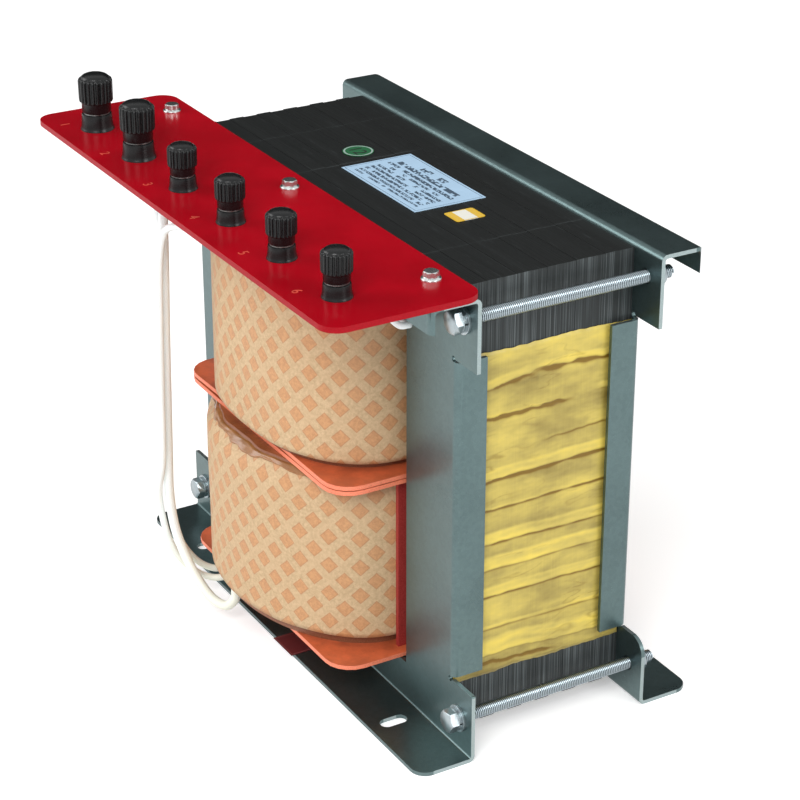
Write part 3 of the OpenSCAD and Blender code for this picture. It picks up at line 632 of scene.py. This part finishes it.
def paperWrap(key, material):
    coil = coils[key]
    low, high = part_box(coil["node"])
    count, rings = wraps["columns"], wraps["rings"]
    points, around = coilPoints(coil, -0.25, count)
    bm = bmesh.new()
    row = edgeRing(bm, points, low.z)
    for k in range(rings):
        made = bmesh.ops.extrude_edge_only(bm, edges=row)["geom"]
        fresh = vertsOf(made)
        bmesh.ops.translate(bm, verts=fresh, vec=(0, 0, (high.z - low.z) / rings))
        rim = set(fresh)
        row = [g for g in made if isinstance(g, bmesh.types.BMEdge) and rim.issuperset(g.verts)]
    outward(bm)
    bm.verts.index_update()
    middle = Vector(((origin.x + coil["lean"]) * mm, origin.y * mm, 0))
    places, columnOf = {}, {}
    uv = bm.loops.layers.uv.new("wrap")
    plan = [Vector((p.x * mm, p.y * mm)) for p in points]
    for v in bm.verts:
        spot = (round(v.co.x, 6), round(v.co.y, 6))
        if spot not in places:
            places[spot] = min(range(count), key=lambda i: (plan[i] - v.co.xy).length_squared)
        columnOf[v.index] = places[spot]
    for face in bm.faces:
        columns = [columnOf[v.index] for v in face.verts]
        closing = max(columns) - min(columns) > count / 2  # the face where the last column meets the first
        for corner in face.loops:
            c = columnOf[corner.vert.index]
            if closing and c < count / 2:
                c += count
            corner[uv].uv = (c / count * around * mm, corner.vert.co.z)
    for v in bm.verts:
        away = v.co - middle
        away.z = 0
        away.normalize()
        share = (v.co.z - low.z) / (high.z - low.z)
        soft = noise.noise(v.co * 24) * 0.35 + noise.noise(v.co * 9 + Vector((3, 1, 7))) * 0.35
        v.co += away * soft * mm * min(1, 6 * min(share, 1 - share) + 0.25)
        edge = noise.noise(Vector((v.co.x * 30, v.co.y * 30, 4))) * 0.7 * mm
        v.co.z += edge * (1 - share) ** 6 - abs(edge) * share ** 8
        if key == "lower":
            v.co += leanIn(v.co, high.z, coil)
    piece = addPiece(coil["node"] + "_paper", bm, material, replaces=(coil["node"],))
    wall = piece.modifiers.new("wall", "SOLIDIFY")
    wall.thickness, wall.offset = wraps["wall"] * mm, -1


winding = {"hole": (106.2, 126.2), "out": -1.5, "back": -5.5, "from": 3, "down": (8, 5, 2.5, 0), "count": 144}


def windingPiece(material):
    # the lower winding's top edge is rounded over where the wrap leans in
    coil = coils["lower"]
    low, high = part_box("winding_lower")
    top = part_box(coil["node"])[1].z
    count = winding["count"]
    outer, back = [coilPoints(coil, winding[key], count)[0] for key in ("out", "back")]
    inner = [p + origin for p in rectLoop(*winding["hole"], 0.4, count)]
    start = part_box(coil["node"])[0].z + winding["from"] * mm
    bm = bmesh.new()
    rings = [edgeRing(bm, inner, low.z), edgeRing(bm, back, low.z), edgeRing(bm, back, start)]
    for z in [start] + [high.z - down * mm for down in winding["down"]]:
        leaned = [p + leanIn(Vector((p.x * mm, p.y * mm, z)), top, coil) / mm for p in outer]
        rings.append(edgeRing(bm, leaned, z))
    rings.append(edgeRing(bm, inner, high.z))
    for a, b in zip(rings, rings[1:] + rings[:1]):
        bmesh.ops.bridge_loops(bm, edges=a + b)
    outward(bm)
    addPiece("winding_lower_wound", bm, material, replaces=("winding_lower",))


def filmLap(material):
    coil = coils["lower"]
    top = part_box(coil["node"])[1].z
    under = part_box("bobbin_lower")[1].z - cheek["t"] * mm
    arc = [p for p in coilPoints(coil, 0, 520)[0] if p.y - origin.y < -52 and p.x - origin.x < 92]
    rows, rim = 16, 0.45
    bm = bmesh.new()
    bmesh.ops.create_grid(bm, x_segments=len(arc) - 1, y_segments=rows, size=0.5)
    for v in bm.verts:
        i, t = round((v.co.x + 0.5) * (len(arc) - 1)), v.co.y + 0.5
        p = arc[i]
        inward = Vector((origin.x + coil["lean"] - p.x, origin.y - coil["side"] / 2 - p.y, 0)).normalized()
        crease = noise.noise(Vector((i * 0.09, t * 5, 5))) + 0.5 * noise.noise(Vector((i * 0.23, t * 9, 8)))
        ragged = 3.2 + 3.6 * noise.noise(Vector((i * 0.045, 2, 0)))
        ragged += 1.6 * noise.noise(Vector((i * 0.16, 9, 0)))
        below = max(0.4, ragged) * max(0, 1 - t / rim)
        flat = max(0, (t - rim) / (1 - rim))
        at = Vector((p.x * mm, p.y * mm, top - below * mm))
        at += leanIn(at, top, coil) - inward * (0.35 + 0.5 * abs(crease) * (1 - flat)) * mm
        at += inward * 21 * mm * flat
        arch = math.sin(math.pi * min(1, flat * 1.3 + 0.05)) * (1 - flat)
        at.z += (under - top) * 0.75 * flat + crease * 1.6 * mm * arch
        v.co = at
    outward(bm, Vector((0, 0, 1)))
    piece = addPiece("film_lap_torn", bm, material, replaces=("film_lap",), smoothAngle=60)
    wall = piece.modifiers.new("wall", "SOLIDIFY")
    wall.thickness, wall.offset = 0.12 * mm, -1


cheek = {"w": 207, "d": 212, "r": 18, "t": 3, "hole": (105.6, 125.6), "bore": (100.6, 120.6), "count": 144}


def rectLoop(w, d, r, count):
    # a rectangle with rounded corners
    outline = []
    for sx, sy, start in ((1, -1, -90), (1, 1, 0), (-1, 1, 90), (-1, -1, 180)):
        for k in range(19):
            a = math.radians(start + 5 * k)
            x = sx * (w / 2 - r) + r * math.cos(a)
            outline.append(Vector((x, sy * (d / 2 - r) + r * math.sin(a), 0)))
    return evenSteps(outline, count)[0]


def sag(x, y, deep):
    # how far a cheek bends at its front, most of it left of the middle
    return deep * max(0, -y / 106) ** 2 * max(0, 1 - abs(x + 25) / 80)


def cheekPlate(z, deep):
    bm = bmesh.new()
    edges = edgeRing(bm, rectLoop(cheek["w"], cheek["d"], cheek["r"], cheek["count"]), 0)
    edges += edgeRing(bm, rectLoop(*cheek["hole"], 0.4, cheek["count"]), 0)
    rim = set(edges)
    bridged = bmesh.ops.bridge_loops(bm, edges=edges)
    spokes = [e for e in bridged["edges"] if e not in rim]
    bmesh.ops.subdivide_edges(bm, edges=spokes, cuts=9)
    outward(bm)
    made = bmesh.ops.extrude_face_region(bm, geom=bm.faces[:])["geom"]
    bmesh.ops.translate(bm, verts=vertsOf(made), vec=(0, 0, cheek["t"] * mm))
    for v in bm.verts:
        v.co.z += (z + sag(v.co.x / mm, v.co.y / mm, deep)) * mm
    bmesh.ops.translate(bm, verts=bm.verts, vec=origin * mm)
    outward(bm)
    return bm


def bobbinPiece(name, lowSag, highSag, material):
    low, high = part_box(name)
    bm = cheekPlate(low.z / mm, lowSag)
    pour(cheekPlate(high.z / mm - cheek["t"], highSag), bm)
    tubeEdges = []
    for w, d in (cheek["hole"], cheek["bore"]):
        signs = ((-1, -1), (1, -1), (1, 1), (-1, 1))
        corners = [origin + Vector((sx * w / 2, sy * d / 2, 0)) for sx, sy in signs]
        tubeEdges += edgeRing(bm, corners, low.z)
    foot = bmesh.ops.bridge_loops(bm, edges=tubeEdges)["faces"]
    made = bmesh.ops.extrude_face_region(bm, geom=foot)["geom"]
    bmesh.ops.translate(bm, verts=vertsOf(made), vec=(0, 0, high.z - low.z))
    outward(bm)
    piece = addPiece(name + "_board", bm, material, replaces=(name,))
    bevelEdges(piece, 0.35 * mm, 2, 60)


tape = {
    "low": 39.5, "top": 252.5, "half": 59.5, "face": 160, "rows": 330, "columns": 125,
    # share down the film at its front edge and rear edge, start and end across, band width, how dark the
    # painted shade in the crease is, how bright the painted highlight on its band is
    "creases": [
        (0.115, 0.07, 0.0, 0.44, 7.0, 1.3, 0.6), (0.0765, 0.0955, 0.45, 1.0, 6.0, 1.3, 0.7),
        (0.2, 0.195, 0.1, 0.66, 3.0, 1.2, 0.4), (0.3, 0.3, 0.02, 0.14, 1.5, 1.1, 0.2),
        (0.17, 0.19, 0.8, 1.0, 5.0, 0.1, 0.7), (0.315, 0.29, 0.5, 0.9, 3.0, 0.4, 0.2),
        (0.392, 0.378, 0.0, 1.0, 8.5, 0.9, 0.75), (0.48, 0.47, 0.0, 1.0, 2.5, 0.6, 0.35),
        (0.58, 0.592, 0.0, 1.0, 8.5, 0.5, 0.8), (0.666, 0.667, 0.0, 1.0, 10.0, 0.3, 0.8),
        (0.747, 0.757, 0.0, 1.0, 7.5, 0.5, 0.8), (0.854, 0.86, 0.0, 1.0, 3.0, 0.3, 0.5),
        (0.93, 0.96, 0.1, 0.9, 13.0, 0.1, 0.9), (0.965, 0.98, 0.05, 0.6, 1.5, 0.9, 0.2),
    ],
}


def creaseLines(y, seed):
    # the creases that pass this place across the film: how high each runs there, and how strong it is
    across = (y + tape["half"]) / (2 * tape["half"])
    found = []
    for front, rear, a, b, width, dark, light in tape["creases"]:
        within = min(1, max(0, (across - a) * 14 + 0.3)) * min(1, max(0, (b - across) * 14 + 0.3))
        wavy = 0.35 if b - a > 0.9 else 1.0
        row = front * 40
        line = tape["top"] - (tape["top"] - tape["low"]) * (front + (rear - front) * across)
        line += wavy * 2.2 * noise.noise(Vector((y * 0.035, row, seed + 1)))
        line += wavy * 0.9 * noise.noise(Vector((y * 0.16, row, seed + 2)))
        lumpy = max(0.1, 0.75 + 0.7 * noise.noise(Vector((y * 0.09, row, seed + 5))))
        if within > 0:
            found.append((line, within, lumpy, width, dark, light))
    return found


def tapeSurface(y, z, seed, lines):
    lift = 1.25 + 0.2 * noise.noise(Vector((y * 0.02, z * 0.09, seed)))
    lift += 0.15 * noise.noise(Vector((y * 0.05, z * 0.35, seed + 3)))
    bright, shade = 0.0, 0.0
    for line, within, lumpy, width, dark, light in lines:
        d = z - line
        if -5 < d < width + 3:
            groove = math.exp(-(d / (0.4 + 1.0 * lumpy * dark)) ** 2)
            band = max(0, min(1, (d + 0.3) / 0.7)) * max(0, min(1, (width - d) / (0.12 * width + 0.4)))
            lift += within * (light * band * 0.28 - dark * groove * 0.55 * lumpy)
            # the groove gets painted shade, and the band above it a painted highlight
            shade += within * min(1.1, 0.25 + dark) * groove * min(1, lumpy + 0.2)
            unevenHighlight = 0.75 + 0.5 * noise.noise(Vector((y * 0.04, d * 0.3, seed + 7)))
            bright += within * light * band * unevenHighlight
    # small creases of their own along the film, with painted shade in them
    wave = noise.noise(Vector((y * 0.013, z * 0.085, seed + 11)))
    wave += 0.35 * noise.noise(Vector((y * 0.06, z * 0.24, seed + 12)))
    where = max(0, min(1, 2.2 * noise.noise(Vector((y * 0.03, z * 0.02, seed + 13))) + 0.25))
    thin = max(0, 1 - abs(wave) * 22) * where
    lift -= 0.15 * thin
    shade += 0.3 * thin
    return max(0.35, min(2.7, lift)), min(1, bright), min(1, shade)


def creasedTape(node, side, seed, material):
    bm = bmesh.new()
    bmesh.ops.create_grid(bm, x_segments=tape["columns"], y_segments=tape["rows"], size=0.5)
    values, lines = {}, {}
    for v in bm.verts:
        y = v.co.x * 2 * tape["half"]
        share = v.co.y + 0.5
        column = round(v.co.x * tape["columns"])
        if column not in lines:
            lines[column] = creaseLines(y, seed)
        top = tape["top"] + 2.4 * noise.noise(Vector((y * 0.028, 3, seed)))
        top += 0.6 * noise.noise(Vector((y * 0.2, 3, seed)))
        low = tape["low"] + 1.8 * noise.noise(Vector((y * 0.035, 8, seed)))
        low += 0.5 * noise.noise(Vector((y * 0.25, 8, seed)))
        z = low + (top - low) * share
        lift, bright, shade = tapeSurface(y, z, seed, lines[column])
        rim = min(share, 1 - share) * (tape["top"] - tape["low"])
        lift = lift * min(1, 0.25 + rim / 3)
        if tape["half"] - abs(y) < 0.7:
            lift = 0.2
        # painted highlight and painted shade for each point, read by the film's look
        values[v.index] = (bright, shade)
        v.co = Vector((origin.x + side * (tape["face"] + lift), origin.y + y, z)) * mm
    outward(bm, Vector((side, 0, 0)))
    piece = addPiece(node + "_film", bm, material, replaces=(node,), smoothAngle=70)
    for k, name in enumerate(("bright", "shade")):
        layer = piece.data.attributes.new(name, "FLOAT", "POINT")
        layer.data.foreach_set("value", [values[i][k] for i in range(len(values))])


bolts = {
    "x": 171.8, "z": (23.2, 282.4), "headFace": -66.2, "end": 76.6,
    "r": 4.0, "root": 3.42, "pitch": 1.25, "steps": 18,
}


def threadedRods():
    bm = bmesh.new()
    pitch, steps = bolts["pitch"], bolts["steps"]
    turns = int((bolts["end"] - bolts["headFace"]) / pitch)
    profile = [
        (bolts["root"], 0), (bolts["r"], pitch * 0.42), (bolts["r"], pitch * 0.58), (bolts["root"], pitch),
    ]
    for side in (-1, 1):
        for z in bolts["z"]:
            before = set(bm.verts)
            verts = [bm.verts.new((r * mm, t * mm, 0)) for r, t in profile]
            edges = [bm.edges.new(pair) for pair in zip(verts, verts[1:])]
            bmesh.ops.spin(
                bm, geom=verts + edges, cent=(0, 0, 0), axis=(0, 1, 0), dvec=(0, pitch * mm / steps, 0),
                angle=2 * math.pi * turns, steps=turns * steps, use_merge=False)
            fresh = [v for v in bm.verts if v not in before]
            bmesh.ops.remove_doubles(bm, verts=fresh, dist=0.01 * mm)
            fresh = [v for v in bm.verts if v not in before]
            at = Vector((origin.x + side * bolts["x"], origin.y + bolts["headFace"], z)) * mm
            bmesh.ops.translate(bm, verts=fresh, vec=at)
    outward(bm)
    return bm


def boltHeads():
    # the heads are the node's own, cut off where the thread starts
    head = mergedCopy("tie_bolts")
    face = (origin.y + bolts["headFace"]) * mm
    geom = head.verts[:] + head.edges[:] + head.faces[:]
    bmesh.ops.bisect_plane(
        head, geom=geom, plane_co=(0, face + 0.02 * mm, 0), plane_no=(0, 1, 0), clear_outer=True)
    holes = [e for e in head.edges if e.is_boundary]
    bmesh.ops.holes_fill(head, edges=holes, sides=0)
    return head


knobs = {"steps": 176, "flutes": 22, "depth": 0.1, "swell": 1.01, "ofPost": 0.682, "bores": (8.4, 6.4)}


def postSize(i):
    # the knob's radius, and whether its post is one of the two thick ones
    low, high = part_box(f"knob_{i}")
    return (high.x - low.x) / 2 / knobs["swell"], i < 3


def arcPoints(r, z, wide, tall, start):
    # a quarter turn from this angle up, in steps of 15 degrees
    angles = [math.radians(a) for a in range(start, 91, 15)]
    return [(r + wide * math.cos(a), z + tall * math.sin(a)) for a in angles]


def fluteDepth(x, y, z, r, neck):
    # the flutes fade out at the neck and over the crown
    radius = math.hypot(x, y)
    turn = math.atan2(y, x) / (2 * math.pi) * knobs["flutes"]
    wave = abs((turn % 1.0) - 0.5) * 2  # 0 in the groove's middle
    groove = 1 - min(1, max(0, (wave - 0.3) / 0.28))
    ends = min(1, (z - neck) / (0.7 * mm)) * min(1, max(0, (radius - r * 0.83) / (r * 0.08)))
    return knobs["depth"] * groove * ends


def knobPiece(i, material):
    low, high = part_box(f"knob_{i}")
    centre = (low + high) / 2
    r, thick = postSize(i)
    h = high.z - low.z
    total = h / knobs["ofPost"]
    bore = knobs["bores"][0 if thick else 1] / 2 * mm
    neck, shoulder = h - total * 0.5, h - total * 0.14
    grip = neck + 1.1 * mm
    crown = h - shoulder
    profile = [
        (bore, 0), (r * 0.80, 0), (r * 0.83, 0.25 * mm), (r * 0.86, 0.9 * mm), (r * 0.865, neck - 0.5 * mm),
        (r * 0.88, neck - 0.1 * mm), (r * 0.9, neck), (r * 0.985, neck + 0.5 * mm), (r, grip),
    ]
    profile += [(r * (1 + 0.012 * k / 8), grip + (shoulder - grip) * k / 8) for k in range(1, 9)]
    profile += arcPoints(r * 0.86, shoulder, r * 0.152, crown * 0.42, 15)
    profile += arcPoints(r * 0.04, shoulder + crown * 0.46, r * 0.78, crown * 0.54, 0)
    profile[-1] = (0.0005 * mm, h)
    bm = bmesh.new()
    revolve(bm, profile, Vector((0, 0, 0)), knobs["steps"])
    for v in bm.verts:
        if v.co.z > neck + 0.3 * mm and math.hypot(v.co.x, v.co.y) > r * 0.8:
            pull = 1 - fluteDepth(v.co.x, v.co.y, v.co.z, r, neck)
            v.co.x *= pull
            v.co.y *= pull
    bmesh.ops.translate(bm, verts=bm.verts, vec=(centre.x, centre.y, low.z))
    addPiece(f"knob_{i}_fluted", bm, material, f"knob_{i}", (f"knob_{i}",), 38)


def postBases(material):
    bm = bmesh.new()
    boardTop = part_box("terminal_board")[1].z
    for i in range(1, 7):
        low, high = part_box(f"knob_{i}")
        r, thick = postSize(i)
        stud = (4.3 if thick else 3.3) * mm
        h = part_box(f"clamp_washer_{i}")[0].z - boardTop
        profile = [
            (stud, 0), (r, 0), (r, 0.35 * mm), (r * 0.965, 0.9 * mm), (r * 0.94, h * 0.25),
            (r * 0.905, h * 0.55), (r * 0.895, h * 0.86), (r * 0.87, h - 0.25 * mm), (r * 0.82, h), (stud, h),
        ]
        single = bmesh.new()
        revolve(single, profile, Vector(((low.x + high.x) / 2, (low.y + high.y) / 2, boardTop)), 72)
        pour(single, bm)
    addPiece("post_bases_turned", bm, material, replaces=("post_bases",))


screws = {"flange": 5.9, "hex": 4.62, "from": 1.2, "tall": 3.3}


def boardScrews(material):
    bm = bmesh.new()
    low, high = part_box("board_screws")
    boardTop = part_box("terminal_board")[1].z
    centreY = (low.y + high.y) / 2
    wide = screws["flange"] * mm
    flange = [
        (0.0001 * mm, 0), (wide, 0), (wide, 0.5 * mm), (5.5 * mm, 0.95 * mm), (4.0 * mm, 1.5 * mm),
        (0.0001 * mm, 1.5 * mm),
    ]
    for x in (low.x + wide, (low.x + high.x) / 2, high.x - wide):
        single = bmesh.new()
        revolve(single, flange, Vector((0, 0, 0)), 48)
        ring = bmesh.ops.create_circle(single, cap_ends=True, radius=screws["hex"] * mm, segments=6)["verts"]
        bmesh.ops.rotate(single, verts=ring, cent=(0, 0, 0), matrix=Matrix.Rotation(0.35 + x * 9, 3, "Z"))
        bmesh.ops.translate(single, verts=ring, vec=(0, 0, screws["from"] * mm))
        face = [f for f in single.faces if set(f.verts) == set(ring)]
        made = bmesh.ops.extrude_face_region(single, geom=face)["geom"]
        bmesh.ops.translate(single, verts=vertsOf(made), vec=(0, 0, screws["tall"] * mm))
        cap = [g for g in made if isinstance(g, bmesh.types.BMFace)]
        bmesh.ops.inset_region(single, faces=cap, thickness=0.9 * mm)
        bmesh.ops.inset_region(single, faces=cap, thickness=0.5 * mm, depth=-0.55 * mm)
        outward(single)
        bmesh.ops.translate(single, verts=single.verts, vec=(x, centreY, boardTop))
        pour(single, bm)
    bevelEdges(addPiece("board_screw_heads", bm, material), 0.18 * mm, 2, 35)


def words(name, text, size, at, material):
    curve = bpy.data.curves.new(name, "FONT")
    curve.body, curve.size, curve.extrude, curve.align_x = text, size * mm, 0.06 * mm, "CENTER"
    holder = linked(name + "_curve", curve)
    bpy.context.view_layer.update()
    mesh = bpy.data.meshes.new_from_object(holder.evaluated_get(bpy.context.evaluated_depsgraph_get()))
    bpy.data.objects.remove(holder)
    mesh.transform(Matrix.Translation(at))
    mesh.materials.clear()
    mesh.materials.append(material)
    piece = linked(name, mesh)
    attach(piece, "chassis")


def boardNumbers(material):
    low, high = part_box("terminal_board")
    for i in range(1, 7):
        knobLow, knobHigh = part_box(f"knob_{i}")
        at = ((knobLow.x + knobHigh.x) / 2 - 17 * mm, low.y + 8 * mm, high.z + 0.07 * mm)
        words(f"post_number_{i}", str(i), 9, at, material)


leads = {
    "lead_thick": {"d": 6.4, "route": [
        (-56, -130.5, 293), (-60, -130.5, 293), (-67, -131, 287), (-71, -131, 272), (-72, -131, 250),
        (-74, -131, 220), (-76, -131, 190), (-78, -131, 150), (-80, -131, 110), (-81, -131, 78),
        (-77, -130, 54), (-67, -128, 37), (-53, -126, 25), (-38, -123, 17), (-28, -118, 15), (-25, -113, 20),
        (-25, -112, 26), (-25, -112, 31.8)]},
    "lead_left": {"d": 4.6, "route": [
        (-88, -130.5, 293), (-85, -130.5, 293), (-80, -131, 287), (-79, -131, 270), (-82, -130, 225),
        (-85, -129, 180), (-87, -128, 140), (-88, -128, 100), (-88, -128, 75), (-88, -126, 52),
        (-86, -121, 34), (-82, -112, 20), (-77, -101, 14), (-74, -93, 18), (-74, -92, 24), (-74, -92, 31.8)]},
    "lead_middle": {"d": 4.6, "route": [
        (8, -130.5, 293), (2, -130.5, 293), (-20, -136, 286), (-45, -137, 278), (-58, -137, 268),
        (-66, -137, 245), (-70, -137, 200), (-73, -137, 150), (-76, -137, 105), (-84, -137, 78),
        (-86, -133, 50), (-82, -128, 32), (-76, -118, 18), (-68, -107, 13), (-61, -97, 17), (-60, -95, 24),
        (-60, -95, 31.8)]},
    "lead_right": {"d": 4.0, "route": [
        (152, -114.5, 293), (152, -110, 293), (152, -101, 287), (152, -92, 278), (148, -84, 275),
        (138, -78, 270), (124, -75, 266.5), (108, -76, 265.8), (85, -76, 265.8)]},
}


def smoothPath(points, perSpan=6):
    ends = [2 * points[0] - points[1]] + points + [2 * points[-1] - points[-2]]
    path = []
    for a, b, c, d in zip(ends, ends[1:], ends[2:], ends[3:]):
        for k in range(perSpan):
            t = k / perSpan
            bend = (2 * a - 5 * b + 4 * c - d) * t * t + (3 * b - a - 3 * c + d) * t ** 3
            path.append(0.5 * (2 * b + (c - a) * t + bend))
    return path + [points[-1]]


def leadPiece(node, material):
    facts = leads[node]
    path = smoothPath([(Vector(p) + origin) * mm for p in facts["route"]])
    run = runAlong(path)
    sides, r = 16, facts["d"] / 2 * mm
    bm = bmesh.new()
    uv = bm.loops.layers.uv.new("sleeve")
    across = Vector((0.3, 1, 0.2))
    rings = []
    for k, p in enumerate(path):
        along = (path[min(k + 1, len(path) - 1)] - path[max(k - 1, 0)]).normalized()
        across = (across - across.dot(along) * along).normalized()
        other = along.cross(across)
        turns = [2 * math.pi * j / sides for j in range(sides)]
        rings.append([bm.verts.new(p + r * (math.cos(a) * across + math.sin(a) * other)) for a in turns])
    for k, (a, b) in enumerate(zip(rings, rings[1:])):
        for j in range(sides):
            m = (j + 1) % sides
            face = bm.faces.new((a[j], a[m], b[m], b[j]))
            sheet = ((run[k], j), (run[k], j + 1), (run[k + 1], j + 1), (run[k + 1], j))
            for corner, (s, t) in zip(face.loops, sheet):
                corner[uv].uv = (s, t / sides)
    bm.faces.new(rings[0][::-1])
    bm.faces.new(rings[-1])
    outward(bm)
    piece = addPiece(node + "_sleeve", bm, material, replaces=(node,), smoothAngle=60)


makeCamera()
sleeve = sleeveLook()
for node in leads:
    leadPiece(node, sleeve)
print("leads laid")

core = coreLook()
for node in ("core_limb_left", "core_limb_centre", "core_limb_right", "core_yoke_top", "core_yoke_bottom"):
    dress(node, core)

galvanised = zincLook("galvanisedSheet", (0.108, 0.158, 0.160), 0.31, 1.6, 0.9)
plated = zincLook("platedSteel", (0.36, 0.41, 0.43), 0.33, 2.0, 0.95)
for node in ("frame_front", "frame_rear"):
    rimFaces(softened(node, galvanised, 0.3 * mm, name=node + "_sheet"))
for node in ("tie_washers", "tie_spring_washers", "tie_nuts", "board_nuts", "post_washers"):
    softened(node, plated, 0.15 * mm)
rods = threadedRods()
addPiece("tie_bolts_threaded", rods, threadLook(), replaces=("tie_bolts",), smoothAngle=50)
heads = boltHeads()
heads = addPiece("tie_bolt_heads", heads, plated, replaces=("tie_bolts",), smoothAngle=40)
bevelEdges(heads, 0.15 * mm, 2, 50)
print("frames and bolts made")

paper = paperLook()
paperWrap("lower", paper)
paperWrap("upper", paper)
filmLap(fibreLook("brownFilm", (0.34, 0.15, 0.05), (0.30, 0.13, 0.042), 0.14))
# the windings' enamelled copper is its own brown made darker, as painted shade where it shows between the
# wrap and the flange
copperDarkForShade = fibreLook("enamelledCopperDarkForShade", (0.30, 0.10, 0.035), (0.20, 0.065, 0.025), 0.35)
windingPiece(copperDarkForShade)
dress("winding_upper", copperDarkForShade)
redFibre = fibreLook("redFibreboard", (0.60, 0.125, 0.045), (0.76, 0.20, 0.105), 0.4)
bobbinPiece("bobbin_lower", 0, -1.0, redFibre)
bobbinPiece("bobbin_upper", 1.6, 0, redFibre)
dress("packing_strip", fibreLook("maroonBoard", (0.25, 0.02, 0.018), (0.31, 0.018, 0.014), 0.5))
print("coils made")

yellow = filmLook()
creasedTape("limb_tape_right", 1, 0.0, yellow)
creasedTape("limb_tape_left", -1, 17.0, yellow)
print("tapes made")

softened("terminal_board", boardLook(), 0.45 * mm, segments=3, name="terminal_board_panel")
boardNumbers(fibreLook("numberInk", (0.75, 0.085, 0.05), (0.75, 0.1, 0.06), 0.4))
brightZinc = zincLook("brightZinc", (0.60, 0.63, 0.62), 0.2, 2.0, 0.95)
boardScrews(brightZinc)
dress("board_screws", brightZinc)
black = plasticLook()
for i in range(1, 7):
    knobPiece(i, black)
postBases(black)
brass = metalLook("brassParts", (0.42, 0.27, 0.08), (0.62, 0.43, 0.15), 0.28)
washerMetal = metalLook("platedWasher", (0.07, 0.07, 0.068), (0.24, 0.245, 0.24), 0.38)
tin = metalLook("tinnedLug", (0.45, 0.46, 0.47), (0.68, 0.69, 0.7), 0.34)
for i in range(1, 7):
    dress(f"knob_insert_{i}", brass)
    softened(f"clamp_washer_{i}", washerMetal, 0.12 * mm, body=f"clamp_{i}")
softened("post_studs", brass, 0.2 * mm)
softened("post_nuts", brass, 0.2 * mm)
softened("ring_lugs", tin, 0.15 * mm)
ink = fibreLook("blackInk", (0.01, 0.012, 0.011), (0.01, 0.012, 0.011), 0.5)
low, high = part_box("round_label")
at = ((low.x + high.x) / 2, (low.y + high.y) / 2 - 4.6 * mm, high.z + 0.02 * mm)
words("round_number", "12", 13, at, ink)
print("terminals made")

ratingRows = (
    (17, 4.6, 28), (11, 4.2, 10), (5.5, 3.0, 7), (1.2, 2.4, 16), (-2.8, 2.6, 7),
    (-7, 2.6, 7), (-11.2, 2.6, 7), (-15.4, 2.4, 7), (-19, 1.8, 7),
)
blue = labelLook("blueLabel", "rating_label", (0.46, 0.66, 0.86), (0.05, 0.08, 0.12), (1.4, 1.8), ratingRows)
dress("rating_label", blue)
dress("round_label", ringLabel("greenLabel", "round_label"))
cream = labelLook("creamLabel", "small_label", (0.88, 0.87, 0.78), (0.80, 0.50, 0.03), (0.0, 0.8), bands=0.27)
dress("small_label", cream)
dress("foot_label", labelLook("maroonLabel", "foot_label", (0.12, 0.02, 0.022), (0.3, 0.1, 0.1), (0.8, 1.2)))


def plane(name, wide, deep, material):
    bm = bmesh.new()
    bmesh.ops.create_grid(bm, x_segments=1, y_segments=1, size=0.5)
    bmesh.ops.scale(bm, verts=bm.verts, vec=(wide, deep, 1))
    mesh = bpy.data.meshes.new(name)
    bm.to_mesh(mesh)
    bm.free()
    mesh.materials.append(material)
    return linked(name, mesh)


def makeRoom():
    look = Look("paleFloor", studio["floorColour"], 0.9)
    look.put("Emission Color", (1, 1, 1))
    look.put("Emission Strength", look.backdropShare() * studio["floorGlow"])
    plane("floor", 12, 12, look.material)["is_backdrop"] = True
    world = bpy.data.worlds.new("world")
    world.use_nodes = True
    bpy.context.scene.world = world
    sky, dim = Shading(world.node_tree, "Background"), studio["worldLight"]
    sky.put("Color", (1, 1, 1))
    sky.put("Strength", sky.backdropShare() * (1 - dim) + dim)


def makeFlag():
    facts = studio["flag"]
    flag = plane("blackFlag", *facts["size"], Look("blackCloth", (0.01, 0.01, 0.01), 0.9).material)
    at = Vector(facts["at"])
    turn = (Vector(studio["aim"]) - at).to_track_quat("Z", "Y").to_matrix().to_4x4()
    flag.matrix_world = Matrix.Translation(at) @ turn
    flag.visible_camera = flag.visible_diffuse = flag.visible_shadow = flag.visible_transmission = False
    flag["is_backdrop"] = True


makeRoom()
makeFlag()
makeLamps()
bpy.context.scene.view_settings.view_transform = "Standard"
low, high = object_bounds()
print("room made")
